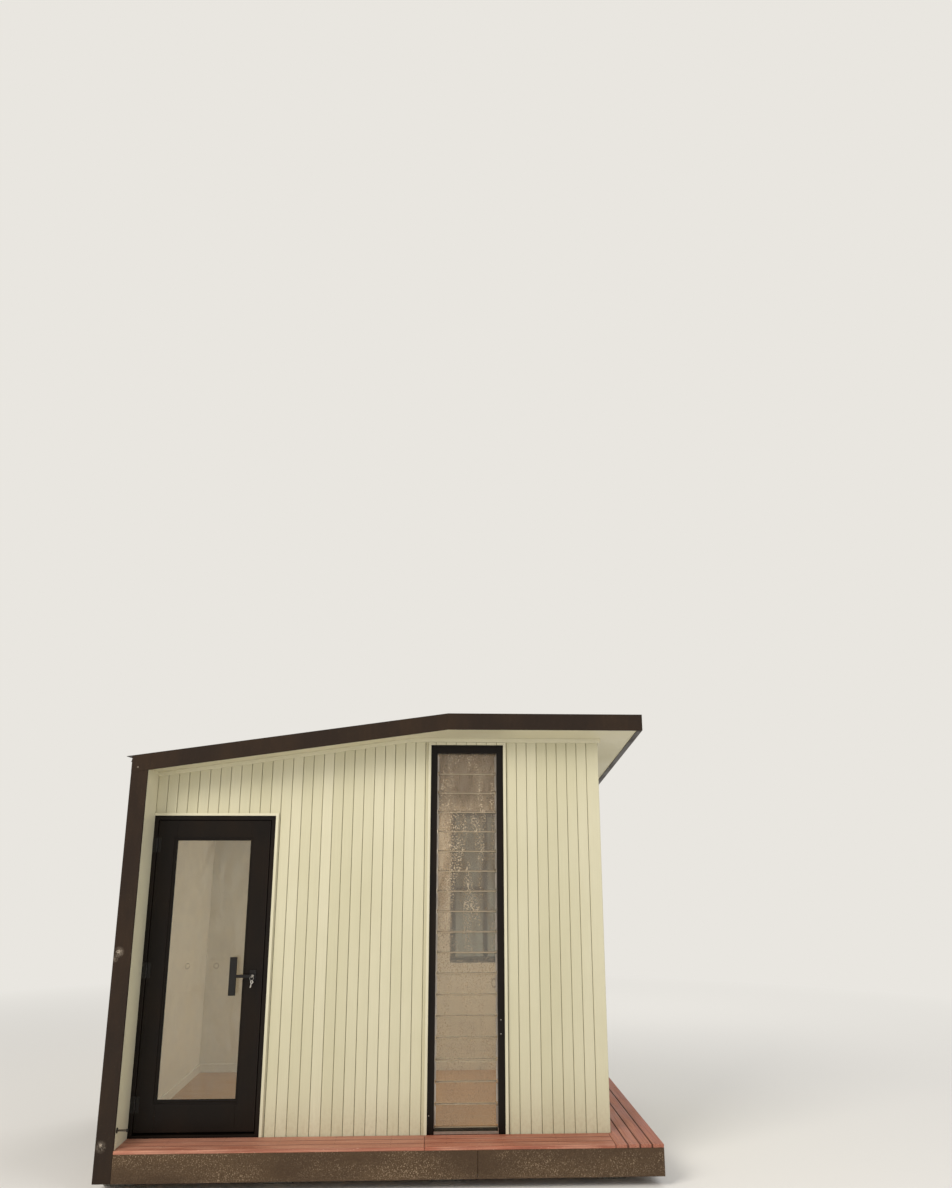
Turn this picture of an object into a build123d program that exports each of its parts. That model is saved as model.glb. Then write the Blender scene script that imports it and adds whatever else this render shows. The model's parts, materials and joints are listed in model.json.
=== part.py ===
"""Garden office pod: a small hollow timber-framed room under a roof with two falls.

The left wall runs forward as a fin, and with the deck below and the fascia above it
frames the recessed front wall.  The front wall holds one outward-opening glazed door
and one tall louvre window.  Millimetres, +Z up, the front faces -Y, and the origin is
on the ground under the middle of the plan.
"""
import os
from math import asin, degrees, radians, tan

from build123d import *

# Overall plan and the frame round the front
overall_width = 3705.0        # left drip edge to the right end of the deck
overall_depth = 2500.0        # front edge of the deck to the rear drip edge
drip_overhang = 40.0          # roof sheet past the left and rear walls
deck_past_roof = 14.0         # deck end past the roof's right fascia
side_overhang = 283.0         # right wall to the outer face of the right fascia
front_recess = 292.0          # front wall face behind the front edge of the deck
wall_thickness = 110.0
fin_lining_thickness = 6.0
edge_board = 20.0             # dark boards on the fin, the roof edges and the base

# Ground, floor frame and deck
pad_height = 89.0
pad_size = 200.0
pad_setback = 160.0           # front and rear pads behind the face of the rims
joist_depth = 140.0
joist_width = 45.0
joist_pitch = 400.0           # largest distance between joist centres
fascia_drop = 27.0            # deck fascia below the joists
deck_fascia_joint = 2485.0    # from the left drip edge
panel_gap = 2.0               # between the ends of two boards or panels
board_thickness = 21.0
board_gap = 4.0
board_edge_radius = 3.0
front_board_count = 3
side_board_count = 4
front_board_joint = 2140.0    # from the left drip edge
side_deck_start = 18.0        # first side board reaches under the wall corner by this much

# Roof, measured at the lower edge of the front fascia
fascia_above_deck = 2700.0
bend_from_left = 2270.0       # left drip edge to the bend where the left slope starts
left_slope = 8.0              # degrees
soffit_recess = 5.0           # soffit above the lower edge of the fascia
soffit_thickness = 9.0
roof_core_thickness = 74.0
roof_sheet_thickness = 3.0
rib_pitch = 250.0
rib_base_width = 60.0
rib_crest_width = 26.0
rib_height = 20.0
fascia_height = 117.0
side_fascia_thickness = 40.0
fascia_cap_width = 110.0      # flange over the roofing, from the front edge
fascia_cap_thickness = 3.0
hip_cap_width = 180.0
hip_cap_thickness = 2.5
hip_lip_gap = 1.0             # under the turned-down edges of the hip cap

# Pale beads on the front wall
bead_width = 20.0
bead_depth = 18.0
soffit_bead_height = 28.0

# Door
door_width = 872.0            # outside of the frame
door_height = 2100.0          # outside of the frame, above the deck
door_frame_face = 30.0
door_frame_proud = 6.0        # in front of the wall face
door_stop_lip = 20.0
door_gap = 5.0
leaf_thickness = 42.0
stile_width = 134.0
bottom_rail_height = 190.0
threshold_height = 25.0       # above the deck
threshold_gap = 8.0
door_bead_width = 15.0
door_bead_step = 8.0
glass_thickness = 6.0
glass_rebate = 10.0

# Door hinges
hinge_end_inset = 170.0       # middle of the end hinges to the end of the leaf
hinge_length = 100.0
knuckle_radius = 7.0
hinge_pin_radius = 4.0
hinge_pin_clearance = 0.05
knuckle_gap = 1.0
hinge_plate_thickness = 2.5
hinge_plate_width = 20.0
hinge_plate_gap = 1.0         # plate to the other half's knuckle
hinge_barrel_proud = 0.5      # back of the barrel to the face of the frame

# Door pull and lock
pull_height = 1012.0          # above the deck
pull_bar_width = 50.0
pull_bar_height = 250.0
pull_bar_thickness = 14.0
pull_stand_off = 32.0         # back of the bar to the face of the leaf
pull_bar_offset = 132.0       # bar centre to lock centre
pull_arm_height = 20.0
lock_plate_width = 44.0
lock_plate_height = 70.0
lock_plate_thickness = 8.0
lock_cylinder_radius = 11.0
lock_cylinder_length = 14.0

# Door stop on the fin
stop_from_front = 18.0        # from the front edge of the fin lining
stop_above_deck = 110.0
stop_length = 75.0
stop_base_radius = 16.0
stop_base_thickness = 6.0
stop_rod_radius = 6.0
stop_tip_radius = 9.0
stop_tip_length = 14.0

# Louvre window in the front wall
door_to_window = 1124.0
window_width = 537.0          # outside of the frame
window_frame_side = 48.0
window_frame_head = 60.0
window_frame_sill = 28.0
window_frame_depth = 90.0
window_frame_set_back = 4.0   # frame front behind the wall face
blade_count = 18
blade_overlap = 12.0
blade_end_gap = 2.0
blade_spacing_gap = 1.0
gallery_thickness = 4.0
gallery_depth = 44.0
clip_length = 112.0
clip_depth = 16.0
clip_reach = 9.0
blade_seat = 6.0              # glass inside the clip, at each end
lever_heights = (640.0, 1900.0)
lever_length = 70.0
lever_width = 14.0
lever_thickness = 5.0

# Window in the back wall
back_window_from_right = 265.0    # from the outer face of the right wall
back_window_width = 800.0
back_window_sill = 885.0          # above the deck
back_window_height = 1350.0
back_window_face = 45.0
back_window_depth = 70.0
back_window_bar = 32.0
back_window_side_light = 265.0    # clear width of the left light
back_window_lower_light = 580.0   # clear height of its lower pane

# Levels
deck_fascia_bottom = pad_height - fascia_drop
frame_top = pad_height + joist_depth
deck_top = frame_top + board_thickness
eave_z = deck_top + fascia_above_deck

# Lines across the plan, from the left
eave_left_x = -overall_width / 2
wall_left_x = eave_left_x + drip_overhang
room_left_x = wall_left_x + wall_thickness
lining_x = room_left_x + fin_lining_thickness
door_right_x = lining_x + door_width
window_left_x = door_right_x + door_to_window
window_right_x = window_left_x + window_width
deck_right_x = overall_width / 2
roof_right_x = deck_right_x - deck_past_roof
wall_right_x = roof_right_x - side_overhang
room_right_x = wall_right_x - wall_thickness
bend_x = eave_left_x + bend_from_left
soffit_right_x = roof_right_x - side_fascia_thickness

# Lines across the plan, from the front
front_y = -overall_depth / 2
trim_back_y = front_y + edge_board
wall_front_y = front_y + front_recess
room_front_y = wall_front_y + wall_thickness
eave_rear_y = overall_depth / 2
wall_rear_y = eave_rear_y - drip_overhang
room_rear_y = wall_rear_y - wall_thickness

# The two roof planes meet in a hip that ends at the rear left corner of the sheets
left_fall = tan(radians(left_slope))
rear_fall = left_fall * bend_from_left / overall_depth

# Heights of the roof layers above the lower edge of the fascia
soffit_top = soffit_recess + soffit_thickness
core_top = soffit_top + roof_core_thickness
sheet_top = core_top + roof_sheet_thickness
rib_top = sheet_top + rib_height

# The louvre window's head bead meets the bead under the soffit
soffit_bead_z = eave_z - rear_fall * front_recess + soffit_recess - soffit_bead_height
window_top_z = soffit_bead_z - bead_width

REACH = 2 * (overall_width + overall_depth)   # past every edge of the pod


def block(x0: float, x1: float, y0: float, y1: float, z0: float, z1: float) -> Part:
    """A straight block between two corners."""
    return Pos((x0 + x1) / 2, (y0 + y1) / 2, (z0 + z1) / 2) * Box(x1 - x0, y1 - y0, z1 - z0)


def prism_x(outline: list[tuple[float, float]], x0: float, x1: float) -> Part:
    """An outline in (y, z) carried from x0 to x1."""
    face = make_face(Polyline(*[(x0, y, z) for y, z in outline], close=True))
    return extrude(face, amount=x1 - x0, dir=(1, 0, 0))


def prism_y(outline: list[tuple[float, float]], y0: float, y1: float) -> Part:
    """An outline in (x, z) carried from y0 to y1."""
    face = make_face(Polyline(*[(x, y0, z) for x, z in outline], close=True))
    return extrude(face, amount=y1 - y0, dir=(0, 1, 0))


def prism_z(outline: list[tuple[float, float]], z0: float, z1: float) -> Part:
    """An outline in (x, y) carried from z0 to z1."""
    face = make_face(Polyline(*[(x, y, z0) for x, y in outline], close=True))
    return extrude(face, amount=z1 - z0, dir=(0, 0, 1))


def left_plane_z(x: float) -> float:
    """Height of the left slope at the lower edge of the fascia."""
    return eave_z - left_fall * (bend_x - x)


def main_plane_z(y: float) -> float:
    """Height of the main roof plane, which falls to the rear."""
    return eave_z - rear_fall * (y - front_y)


def below_roof(offset: float) -> Part:
    """Everything under both roof planes, raised by offset."""
    left = prism_y(
        [
            (-REACH, -REACH),
            (REACH, -REACH),
            (REACH, left_plane_z(REACH) + offset),
            (-REACH, left_plane_z(-REACH) + offset),
        ],
        -REACH,
        REACH,
    )
    main = prism_x(
        [
            (-REACH, -REACH),
            (REACH, -REACH),
            (REACH, main_plane_z(REACH) + offset),
            (-REACH, main_plane_z(-REACH) + offset),
        ],
        -REACH,
        REACH,
    )
    return left & main


def roof_layer(bottom: float, top: float) -> Part:
    """The space between two levels of the roof."""
    return below_roof(top) - below_roof(bottom)


def hip_point(along: float, across: float) -> tuple[float, float]:
    """A plan point: 0 to 1 runs from the front bend to the rear corner, across is to the right."""
    run = (-bend_from_left, overall_depth)
    length = (run[0] ** 2 + run[1] ** 2) ** 0.5
    x = bend_x + along * run[0] + across * run[1] / length
    y = front_y + along * run[1] - across * run[0] / length
    return x, y


def beside_hip(to_right: bool) -> Part:
    """Everything on one side of the hip, seen in plan."""
    across = REACH if to_right else -REACH
    outline = [hip_point(-1, 0), hip_point(2, 0), hip_point(2, across), hip_point(-1, across)]
    return prism_z(outline, -REACH, REACH)


def under_core(shape: Part) -> Part:
    """A wall cut off at the underside of the roof core."""
    return shape & below_roof(soffit_top)


def joist_lines() -> list[float]:
    """Left faces of the joists under the room, first to last."""
    first = wall_left_x + edge_board
    last = wall_right_x - joist_width
    bays = int(-(-(last - first) // joist_pitch))
    return [first + (last - first) * i / bays for i in range(bays + 1)]


def side_rim_x() -> float:
    """Left face of the joist behind the right-hand deck fascia."""
    return deck_right_x - edge_board - joist_width


def footing_pads() -> Part:
    """Concrete pads in three rows under every third joist."""
    lines = joist_lines()[::3]
    half = pad_size / 2
    first_row = front_y + edge_board + pad_setback + half
    last_row = wall_rear_y - edge_board - pad_setback - half
    rows = (first_row, (first_row + last_row) / 2, last_row)
    pads = []
    for line in lines:
        centre = max(line + joist_width / 2, wall_left_x + edge_board + half)
        for row in rows:
            pads.append(block(centre - half, centre + half, row - half, row + half, 0, pad_height))
    return Compound(children=pads)


def floor_joists() -> Part:
    """Joists from front to rear, between the two rims."""
    y0 = front_y + edge_board + joist_width
    y1 = wall_rear_y - edge_board - joist_width
    joists = []
    for x in joist_lines() + [side_rim_x()]:
        joists.append(block(x, x + joist_width, y0, y1, pad_height, frame_top))
    return Compound(children=joists)


def rim_joists() -> Part:
    """Front and rear rims, and the noggings that carry the side deck."""
    x0 = wall_left_x + edge_board
    x1 = deck_right_x - edge_board
    front = front_y + edge_board
    rear = wall_rear_y - edge_board
    members = [
        block(x0, x1, front, front + joist_width, pad_height, frame_top),
        block(x0, x1, rear - joist_width, rear, pad_height, frame_top),
    ]
    first = front + joist_width
    last = rear - joist_width
    bays = int(-(-(last - first) // joist_pitch))
    for i in range(1, bays):
        y = first + (last - first) * i / bays - joist_width / 2
        members.append(block(wall_right_x, side_rim_x(), y, y + joist_width, pad_height, frame_top))
    return Compound(children=members)


def floor_sheet() -> Part:
    """The floor between the walls."""
    return block(room_left_x, room_right_x, room_front_y, room_rear_y, frame_top, deck_top)


def board_edges(start: float, end: float, count: int) -> list[tuple[float, float]]:
    """Both edges of each of count equal boards with a gap after each."""
    pitch = (end - start) / count
    return [(start + i * pitch, start + (i + 1) * pitch - board_gap) for i in range(count)]


def eased(board: Part, along: Axis) -> Part:
    """A board with its upper long edges rounded over."""
    upper = board.edges().filter_by(along).group_by(Axis.Z)[-1]
    return fillet(upper, board_edge_radius)


def deck_front_boards() -> Part:
    """Three boards along the front, each in two lengths."""
    joint = eave_left_x + front_board_joint
    end = wall_right_x - side_deck_start - board_gap
    boards = []
    for y0, y1 in board_edges(front_y, frame_front_y, front_board_count):
        for x0, x1 in ((lining_x, joint - panel_gap / 2), (joint + panel_gap / 2, end)):
            boards.append(eased(block(x0, x1, y0, y1, frame_top, deck_top), Axis.X))
    return Compound(children=boards)


def deck_side_boards() -> Part:
    """Boards from front to rear beside the right wall, the first notched round the corner."""
    start = wall_right_x - side_deck_start
    notch = block(
        room_left_x,
        wall_right_x + board_gap,
        wall_front_y - board_gap,
        REACH,
        frame_top,
        deck_top,
    )
    boards = []
    for x0, x1 in board_edges(start, deck_right_x + board_gap, side_board_count):
        board = block(x0, x1, front_y, wall_rear_y, frame_top, deck_top)
        boards.append(eased(board, Axis.Y) - notch)
    return Compound(children=boards)


def deck_fascia() -> Part:
    """Dark panels under the deck's front and right edges."""
    joint = eave_left_x + deck_fascia_joint
    back = front_y + edge_board
    z0 = deck_fascia_bottom
    return Compound(
        children=[
            block(lining_x, joint - panel_gap / 2, front_y, back, z0, frame_top),
            block(joint + panel_gap / 2, deck_right_x, front_y, back, z0, frame_top),
            block(
                deck_right_x - edge_board,
                deck_right_x,
                back + panel_gap,
                wall_rear_y,
                z0,
                frame_top,
            ),
        ]
    )


def base_skirts() -> Part:
    """Dark panels below the left and rear walls."""
    z0 = deck_fascia_bottom
    return Compound(
        children=[
            block(
                wall_left_x,
                wall_left_x + edge_board,
                trim_back_y,
                wall_rear_y,
                z0,
                frame_top,
            ),
            block(
                wall_left_x + edge_board + panel_gap,
                deck_right_x - edge_board - panel_gap,
                wall_rear_y - edge_board,
                wall_rear_y,
                z0,
                frame_top,
            ),
        ]
    )


def left_wall() -> Part:
    """The left wall with the fin that it makes at the front."""
    return under_core(block(wall_left_x, room_left_x, trim_back_y, wall_rear_y, frame_top, REACH))


def fin_lining() -> Part:
    """Thin pale board on the inner face of the fin, back to the door frame's rear."""
    return under_core(block(room_left_x, lining_x, trim_back_y, room_front_y, frame_top, REACH))


def fin_front_trim() -> Part:
    """Dark board on the front edge of the fin, from the deck fascia's bottom to the roof fascia."""
    outline = [
        (wall_left_x, deck_fascia_bottom),
        (lining_x, deck_fascia_bottom),
        (lining_x, left_plane_z(lining_x)),
        (wall_left_x, left_plane_z(wall_left_x)),
    ]
    return prism_y(outline, front_y, trim_back_y)


def front_wall(x0: float, x1: float, z0: float) -> Part:
    """A stretch of the front wall from z0 up to the roof."""
    return under_core(block(x0, x1, wall_front_y, room_front_y, z0, REACH))


def right_wall() -> Part:
    """The right wall, between the front and back walls."""
    return under_core(block(room_right_x, wall_right_x, room_front_y, room_rear_y, frame_top, REACH))


def back_window_edges() -> tuple[float, float, float, float]:
    """Left, right, bottom and top of the opening in the back wall."""
    x1 = wall_right_x - back_window_from_right
    z0 = deck_top + back_window_sill
    return x1 - back_window_width, x1, z0, z0 + back_window_height


def back_wall_sides() -> Part:
    """The back wall beside its window."""
    x0, x1, _, _ = back_window_edges()
    left = under_core(block(room_left_x, x0, room_rear_y, wall_rear_y, frame_top, REACH))
    right = under_core(block(x1, wall_right_x, room_rear_y, wall_rear_y, frame_top, REACH))
    return Compound(children=[left, right])


def back_wall_panels() -> Part:
    """The back wall below and above its window."""
    x0, x1, z0, z1 = back_window_edges()
    below = block(x0, x1, room_rear_y, wall_rear_y, frame_top, z0)
    above = under_core(block(x0, x1, room_rear_y, wall_rear_y, z1, REACH))
    return Compound(children=[below, above])


def roof_core(to_right: bool) -> Part:
    """Insulated roof panel on one side of the hip; its underside is the ceiling."""
    plan = block(
        wall_left_x + edge_board,
        soffit_right_x,
        trim_back_y,
        wall_rear_y - edge_board,
        0,
        REACH,
    )
    return plan & roof_layer(soffit_top, core_top) & beside_hip(to_right)


def soffit(to_right: bool) -> Part:
    """Pale lining under the overhang on one side of the hip, front and side in one."""
    front = block(lining_x, soffit_right_x, trim_back_y, wall_front_y, 0, REACH)
    side = block(
        wall_right_x,
        soffit_right_x,
        trim_back_y,
        wall_rear_y - edge_board,
        0,
        REACH,
    )
    return (front + side) & roof_layer(soffit_recess, soffit_top) & beside_hip(to_right)


def front_fascia(to_right: bool) -> Part:
    """Front fascia board, mitred at the bend, with a flange over the edge of the roofing.

    On the left the flange runs on past the board, over the drip edge of the roofing.
    """
    board_end_x = roof_right_x if to_right else wall_left_x
    cap_end_x = roof_right_x if to_right else eave_left_x

    def band(bottom: float, top: float, back_y: float, x_end: float) -> Part:
        """The strip between two heights, from the front edge back and out to one end."""
        z_end = eave_z if to_right else left_plane_z(x_end)
        outline = [
            (bend_x, eave_z + bottom),
            (x_end, z_end + bottom),
            (x_end, z_end + top),
            (bend_x, eave_z + top),
        ]
        return prism_y(outline, front_y, back_y)

    cap_bottom = fascia_height - fascia_cap_thickness
    cap = band(cap_bottom, fascia_height, front_y + fascia_cap_width, cap_end_x)
    return band(0, fascia_height, trim_back_y, board_end_x) + cap


def right_fascia() -> Part:
    """Deep fascia along the right edge, level with the front fascia at the corner."""
    outline = [
        (trim_back_y, main_plane_z(trim_back_y)),
        (eave_rear_y, main_plane_z(eave_rear_y)),
        (eave_rear_y, main_plane_z(eave_rear_y) + fascia_height),
        (trim_back_y, main_plane_z(trim_back_y) + fascia_height),
    ]
    return prism_x(outline, soffit_right_x, roof_right_x) - front_fascia(True)


def left_fascia() -> Part:
    """Board over the left wall that closes the edge of the roof core."""
    strip = block(wall_left_x, wall_left_x + edge_board, trim_back_y, wall_rear_y, 0, REACH)
    return strip & roof_layer(soffit_top, core_top)


def rear_fascia() -> Part:
    """Board over the back wall; past the wall it also closes the soffit."""
    y0 = wall_rear_y - edge_board
    strip = block(wall_left_x + edge_board, soffit_right_x, y0, wall_rear_y, 0, REACH)
    end = block(wall_right_x, soffit_right_x, y0, wall_rear_y, 0, REACH)
    return (strip & roof_layer(soffit_top, core_top)) + (end & roof_layer(0, core_top))


def rib_outline(centre: float, z: float) -> list[tuple[float, float]]:
    """Section of a roofing rib; its foot lies within the sheet."""
    foot = z + (core_top + sheet_top) / 2
    base = rib_base_width / 2
    crest = rib_crest_width / 2
    top = z + rib_top
    return [(centre - base, foot), (centre + base, foot), (centre + crest, top), (centre - crest, top)]


def roof_ribs(to_right: bool) -> list[Part]:
    """Ribs down the fall: to the rear on the main plane, to the left on the other."""
    width = soffit_right_x - eave_left_x if to_right else eave_rear_y - trim_back_y
    centres = [(i + 0.5) * rib_pitch for i in range(int(width // rib_pitch))]
    ribs = []
    for centre in centres:
        if to_right:
            outline = rib_outline(soffit_right_x - centre, eave_z)
            section = [(x, front_y, z) for x, z in outline]
            run = Vector(0, overall_depth, -rear_fall * overall_depth)
        else:
            outline = rib_outline(trim_back_y + centre, left_plane_z(eave_left_x))
            section = [(eave_left_x, y, z) for y, z in outline]
            run = Vector(bend_from_left, 0, left_fall * bend_from_left)
        ribs.append(extrude(make_face(Polyline(*section, close=True)), amount=run.length, dir=run))
    return ribs


def roof_sheet(to_right: bool) -> Part:
    """Ribbed metal roofing on one side of the hip, past the left and rear walls as a drip edge.

    At the front left corner the drip edge starts behind the flange of the fascia.
    """
    plan = block(eave_left_x, soffit_right_x, trim_back_y, eave_rear_y, 0, REACH)
    plan -= block(eave_left_x, wall_left_x, trim_back_y, front_y + fascia_cap_width, 0, REACH)
    zone = plan & beside_hip(to_right)
    sheet = zone & roof_layer(core_top, sheet_top)
    for rib in roof_ribs(to_right):
        piece = zone & rib
        if piece.volume > 0:
            sheet += piece
    return sheet


def hip_strip(left: float, right: float) -> Part:
    """A strip along the hip between two distances across it, over the roofed area."""
    plan = block(eave_left_x, soffit_right_x, trim_back_y, eave_rear_y, 0, REACH)
    outline = [hip_point(-1, left), hip_point(2, left), hip_point(2, right), hip_point(-1, right)]
    return plan & prism_z(outline, -REACH, REACH)


def hip_cap() -> Part:
    """Folded cap along the hip, with turned-down edges notched over the ribs."""
    half = hip_cap_width / 2
    cap = hip_strip(-half, half) & roof_layer(rib_top, rib_top + hip_cap_thickness)
    fold = roof_layer(sheet_top + hip_lip_gap, rib_top)
    for left, right in ((-half, hip_cap_thickness - half), (half - hip_cap_thickness, half)):
        lip = hip_strip(left, right) & fold
        for rib in roof_ribs(left > 0):
            lip -= rib
        cap += lip
    return cap


def soffit_bead() -> Part:
    """Bead along the top of the front and right walls, under the soffit."""
    front = block(lining_x, wall_right_x + bead_depth, wall_front_y - bead_depth, wall_front_y, 0, REACH)
    side_end_y = wall_rear_y - edge_board
    side = block(wall_right_x, wall_right_x + bead_depth, wall_front_y, side_end_y, 0, REACH)
    return (front + side) & roof_layer(soffit_recess - soffit_bead_height, soffit_recess)


def opening_beads() -> Part:
    """Beads beside and over the door, and round the sides and head of the window."""
    y0 = wall_front_y - bead_depth
    y1 = wall_front_y
    door_top = deck_top + door_height
    door = block(door_right_x, door_right_x + bead_width, y0, y1, deck_top, door_top + bead_width)
    door += block(lining_x, door_right_x, y0, y1, door_top, door_top + bead_width)
    window = block(
        window_left_x - bead_width,
        window_right_x + bead_width,
        y0,
        y1,
        deck_top,
        window_top_z + bead_width,
    )
    window -= block(window_left_x, window_right_x, y0, y1, deck_top, window_top_z)
    return Compound(children=[door, window])


# Door frame and leaf share these lines
frame_front_y = wall_front_y - door_frame_proud
leaf_back_y = frame_front_y + leaf_thickness
stop_front_y = leaf_back_y + door_gap
leaf_left_x = lining_x + door_frame_face + door_gap
leaf_right_x = door_right_x - door_frame_face - door_gap
door_head_z = deck_top + door_height
threshold_top = deck_top + threshold_height
leaf_bottom = threshold_top + threshold_gap
leaf_top = door_head_z - door_frame_face - door_gap
hinge_axis_x = leaf_left_x - door_gap / 2
hinge_axis_y = frame_front_y - hinge_barrel_proud - knuckle_radius
hinge_levels = (leaf_bottom + hinge_end_inset, (leaf_bottom + leaf_top) / 2, leaf_top - hinge_end_inset)


def door_jambs() -> Part:
    """Both sides of the door frame, each with its stop lip behind the leaf."""
    face = door_frame_face
    lip = door_frame_face + door_stop_lip
    jambs = []
    for edge, inward in ((lining_x, 1), (door_right_x, -1)):
        outline = [
            (edge, frame_front_y),
            (edge + inward * face, frame_front_y),
            (edge + inward * face, stop_front_y),
            (edge + inward * lip, stop_front_y),
            (edge + inward * lip, room_front_y),
            (edge, room_front_y),
        ]
        jambs.append(prism_z(outline, frame_top, door_head_z))
    return Compound(children=jambs)


def jamb_lips() -> list[Part]:
    """The rear part of each jamb, which the head and the threshold stop against."""
    inset = door_frame_face + door_stop_lip
    return [
        block(lining_x, lining_x + inset, stop_front_y, room_front_y, frame_top, door_head_z),
        block(door_right_x - inset, door_right_x, stop_front_y, room_front_y, frame_top, door_head_z),
    ]


def door_head() -> Part:
    """Head of the door frame, between the jambs."""
    z0 = door_head_z - door_frame_face
    lip = z0 - door_stop_lip
    outline = [
        (frame_front_y, z0),
        (stop_front_y, z0),
        (stop_front_y, lip),
        (room_front_y, lip),
        (room_front_y, door_head_z),
        (frame_front_y, door_head_z),
    ]
    head = prism_x(outline, lining_x + door_frame_face, door_right_x - door_frame_face)
    for jamb in jamb_lips():
        head -= jamb
    return head


def door_threshold() -> Part:
    """Sill of the door frame, with an upstand behind the leaf and a sloping front."""
    nose = door_frame_face / 2
    outline = [
        (frame_front_y, frame_top),
        (room_front_y, frame_top),
        (room_front_y, threshold_top + nose),
        (stop_front_y, threshold_top + nose),
        (stop_front_y, threshold_top),
        (frame_front_y, deck_top + nose),
    ]
    threshold = prism_x(outline, lining_x + door_frame_face, door_right_x - door_frame_face)
    for jamb in jamb_lips():
        threshold -= jamb
    return threshold


def door_glass() -> Part:
    """One sheet of glass, let into the stiles and rails."""
    middle = (frame_front_y + leaf_back_y) / 2
    return block(
        leaf_left_x + stile_width - glass_rebate,
        leaf_right_x - stile_width + glass_rebate,
        middle - glass_thickness / 2,
        middle + glass_thickness / 2,
        leaf_bottom + bottom_rail_height - glass_rebate,
        leaf_top - stile_width + glass_rebate,
    )


def bead_steps() -> list[Part]:
    """The shallow steps in front of and behind the glazing beads, round the glass."""
    x0 = leaf_left_x + stile_width - door_bead_width
    x1 = leaf_right_x - stile_width + door_bead_width
    z0 = leaf_bottom + bottom_rail_height - door_bead_width
    z1 = leaf_top - stile_width + door_bead_width
    return [
        block(x0, x1, frame_front_y, frame_front_y + door_bead_step, z0, z1),
        block(x0, x1, leaf_back_y - door_bead_step, leaf_back_y, z0, z1),
    ]


def leaf_member(x0: float, x1: float, z0: float, z1: float) -> Part:
    """A stile or rail with its glazing beads stepped down and the glass let in."""
    member = block(x0, x1, frame_front_y, leaf_back_y, z0, z1)
    for step in bead_steps():
        member -= step
    return member - door_glass()


def door_stiles() -> Part:
    """Both upright sides of the leaf."""
    lefts = (leaf_left_x, leaf_right_x - stile_width)
    return Compound(children=[leaf_member(x, x + stile_width, leaf_bottom, leaf_top) for x in lefts])


def door_rails() -> Part:
    """Top and bottom of the leaf, between the stiles."""
    x0 = leaf_left_x + stile_width
    x1 = leaf_right_x - stile_width
    bottom = leaf_member(x0, x1, leaf_bottom, leaf_bottom + bottom_rail_height)
    top = leaf_member(x0, x1, leaf_top - stile_width, leaf_top)
    return Compound(children=[bottom, top])


def knuckle(z0: float, z1: float) -> Part:
    """A length of hinge barrel on the hinge axis."""
    return Pos(hinge_axis_x, hinge_axis_y, (z0 + z1) / 2) * Cylinder(knuckle_radius, z1 - z0)


def hinge_plate(side: int, knuckles: list[tuple[float, float]], z0: float, z1: float) -> Part:
    """A flat plate on the face of the frame (-1) or the door (+1), rooted to its own knuckles."""
    y0 = frame_front_y - hinge_plate_thickness
    near = hinge_axis_x + side * (knuckle_radius + hinge_plate_gap)
    far = near + side * hinge_plate_width
    plate = block(min(near, far), max(near, far), y0, frame_front_y, z0, z1)
    for bottom, top in knuckles:
        plate += block(min(near, hinge_axis_x), max(near, hinge_axis_x), y0, frame_front_y, bottom, top)
        plate += knuckle(bottom, top)
    return plate


def frame_hinges() -> Part:
    """Hinge halves on the frame: a plate, the two outer knuckles and the pin."""
    third = hinge_length / 3
    hinges = []
    for level in hinge_levels:
        z0 = level - hinge_length / 2
        z1 = z0 + hinge_length
        outer = [(z0, z0 + third - knuckle_gap), (z1 - third + knuckle_gap, z1)]
        pin = Pos(hinge_axis_x, hinge_axis_y, (z0 + z1) / 2) * Cylinder(hinge_pin_radius, hinge_length)
        hinges.append(hinge_plate(-1, outer, z0, z1) + pin)
    return Compound(children=hinges)


def door_hinges() -> Part:
    """Hinge halves on the door: a plate and the middle knuckle, bored for the pin."""
    third = hinge_length / 3
    hinges = []
    for level in hinge_levels:
        z0 = level - hinge_length / 2
        bore = Pos(hinge_axis_x, hinge_axis_y, z0 + hinge_length / 2) * Cylinder(
            hinge_pin_radius + hinge_pin_clearance, hinge_length
        )
        middle = [(z0 + third, z0 + 2 * third)]
        hinges.append(hinge_plate(1, middle, z0, z0 + hinge_length) - bore)
    return Compound(children=hinges)


def lock_plate(y0: float) -> Part:
    """Plate round the lock, from y0 towards the rear."""
    lock_x = leaf_right_x - stile_width / 2
    middle = Pos(lock_x, y0 + lock_plate_thickness / 2, deck_top + pull_height)
    return middle * Box(lock_plate_width, lock_plate_thickness, lock_plate_height)


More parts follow.
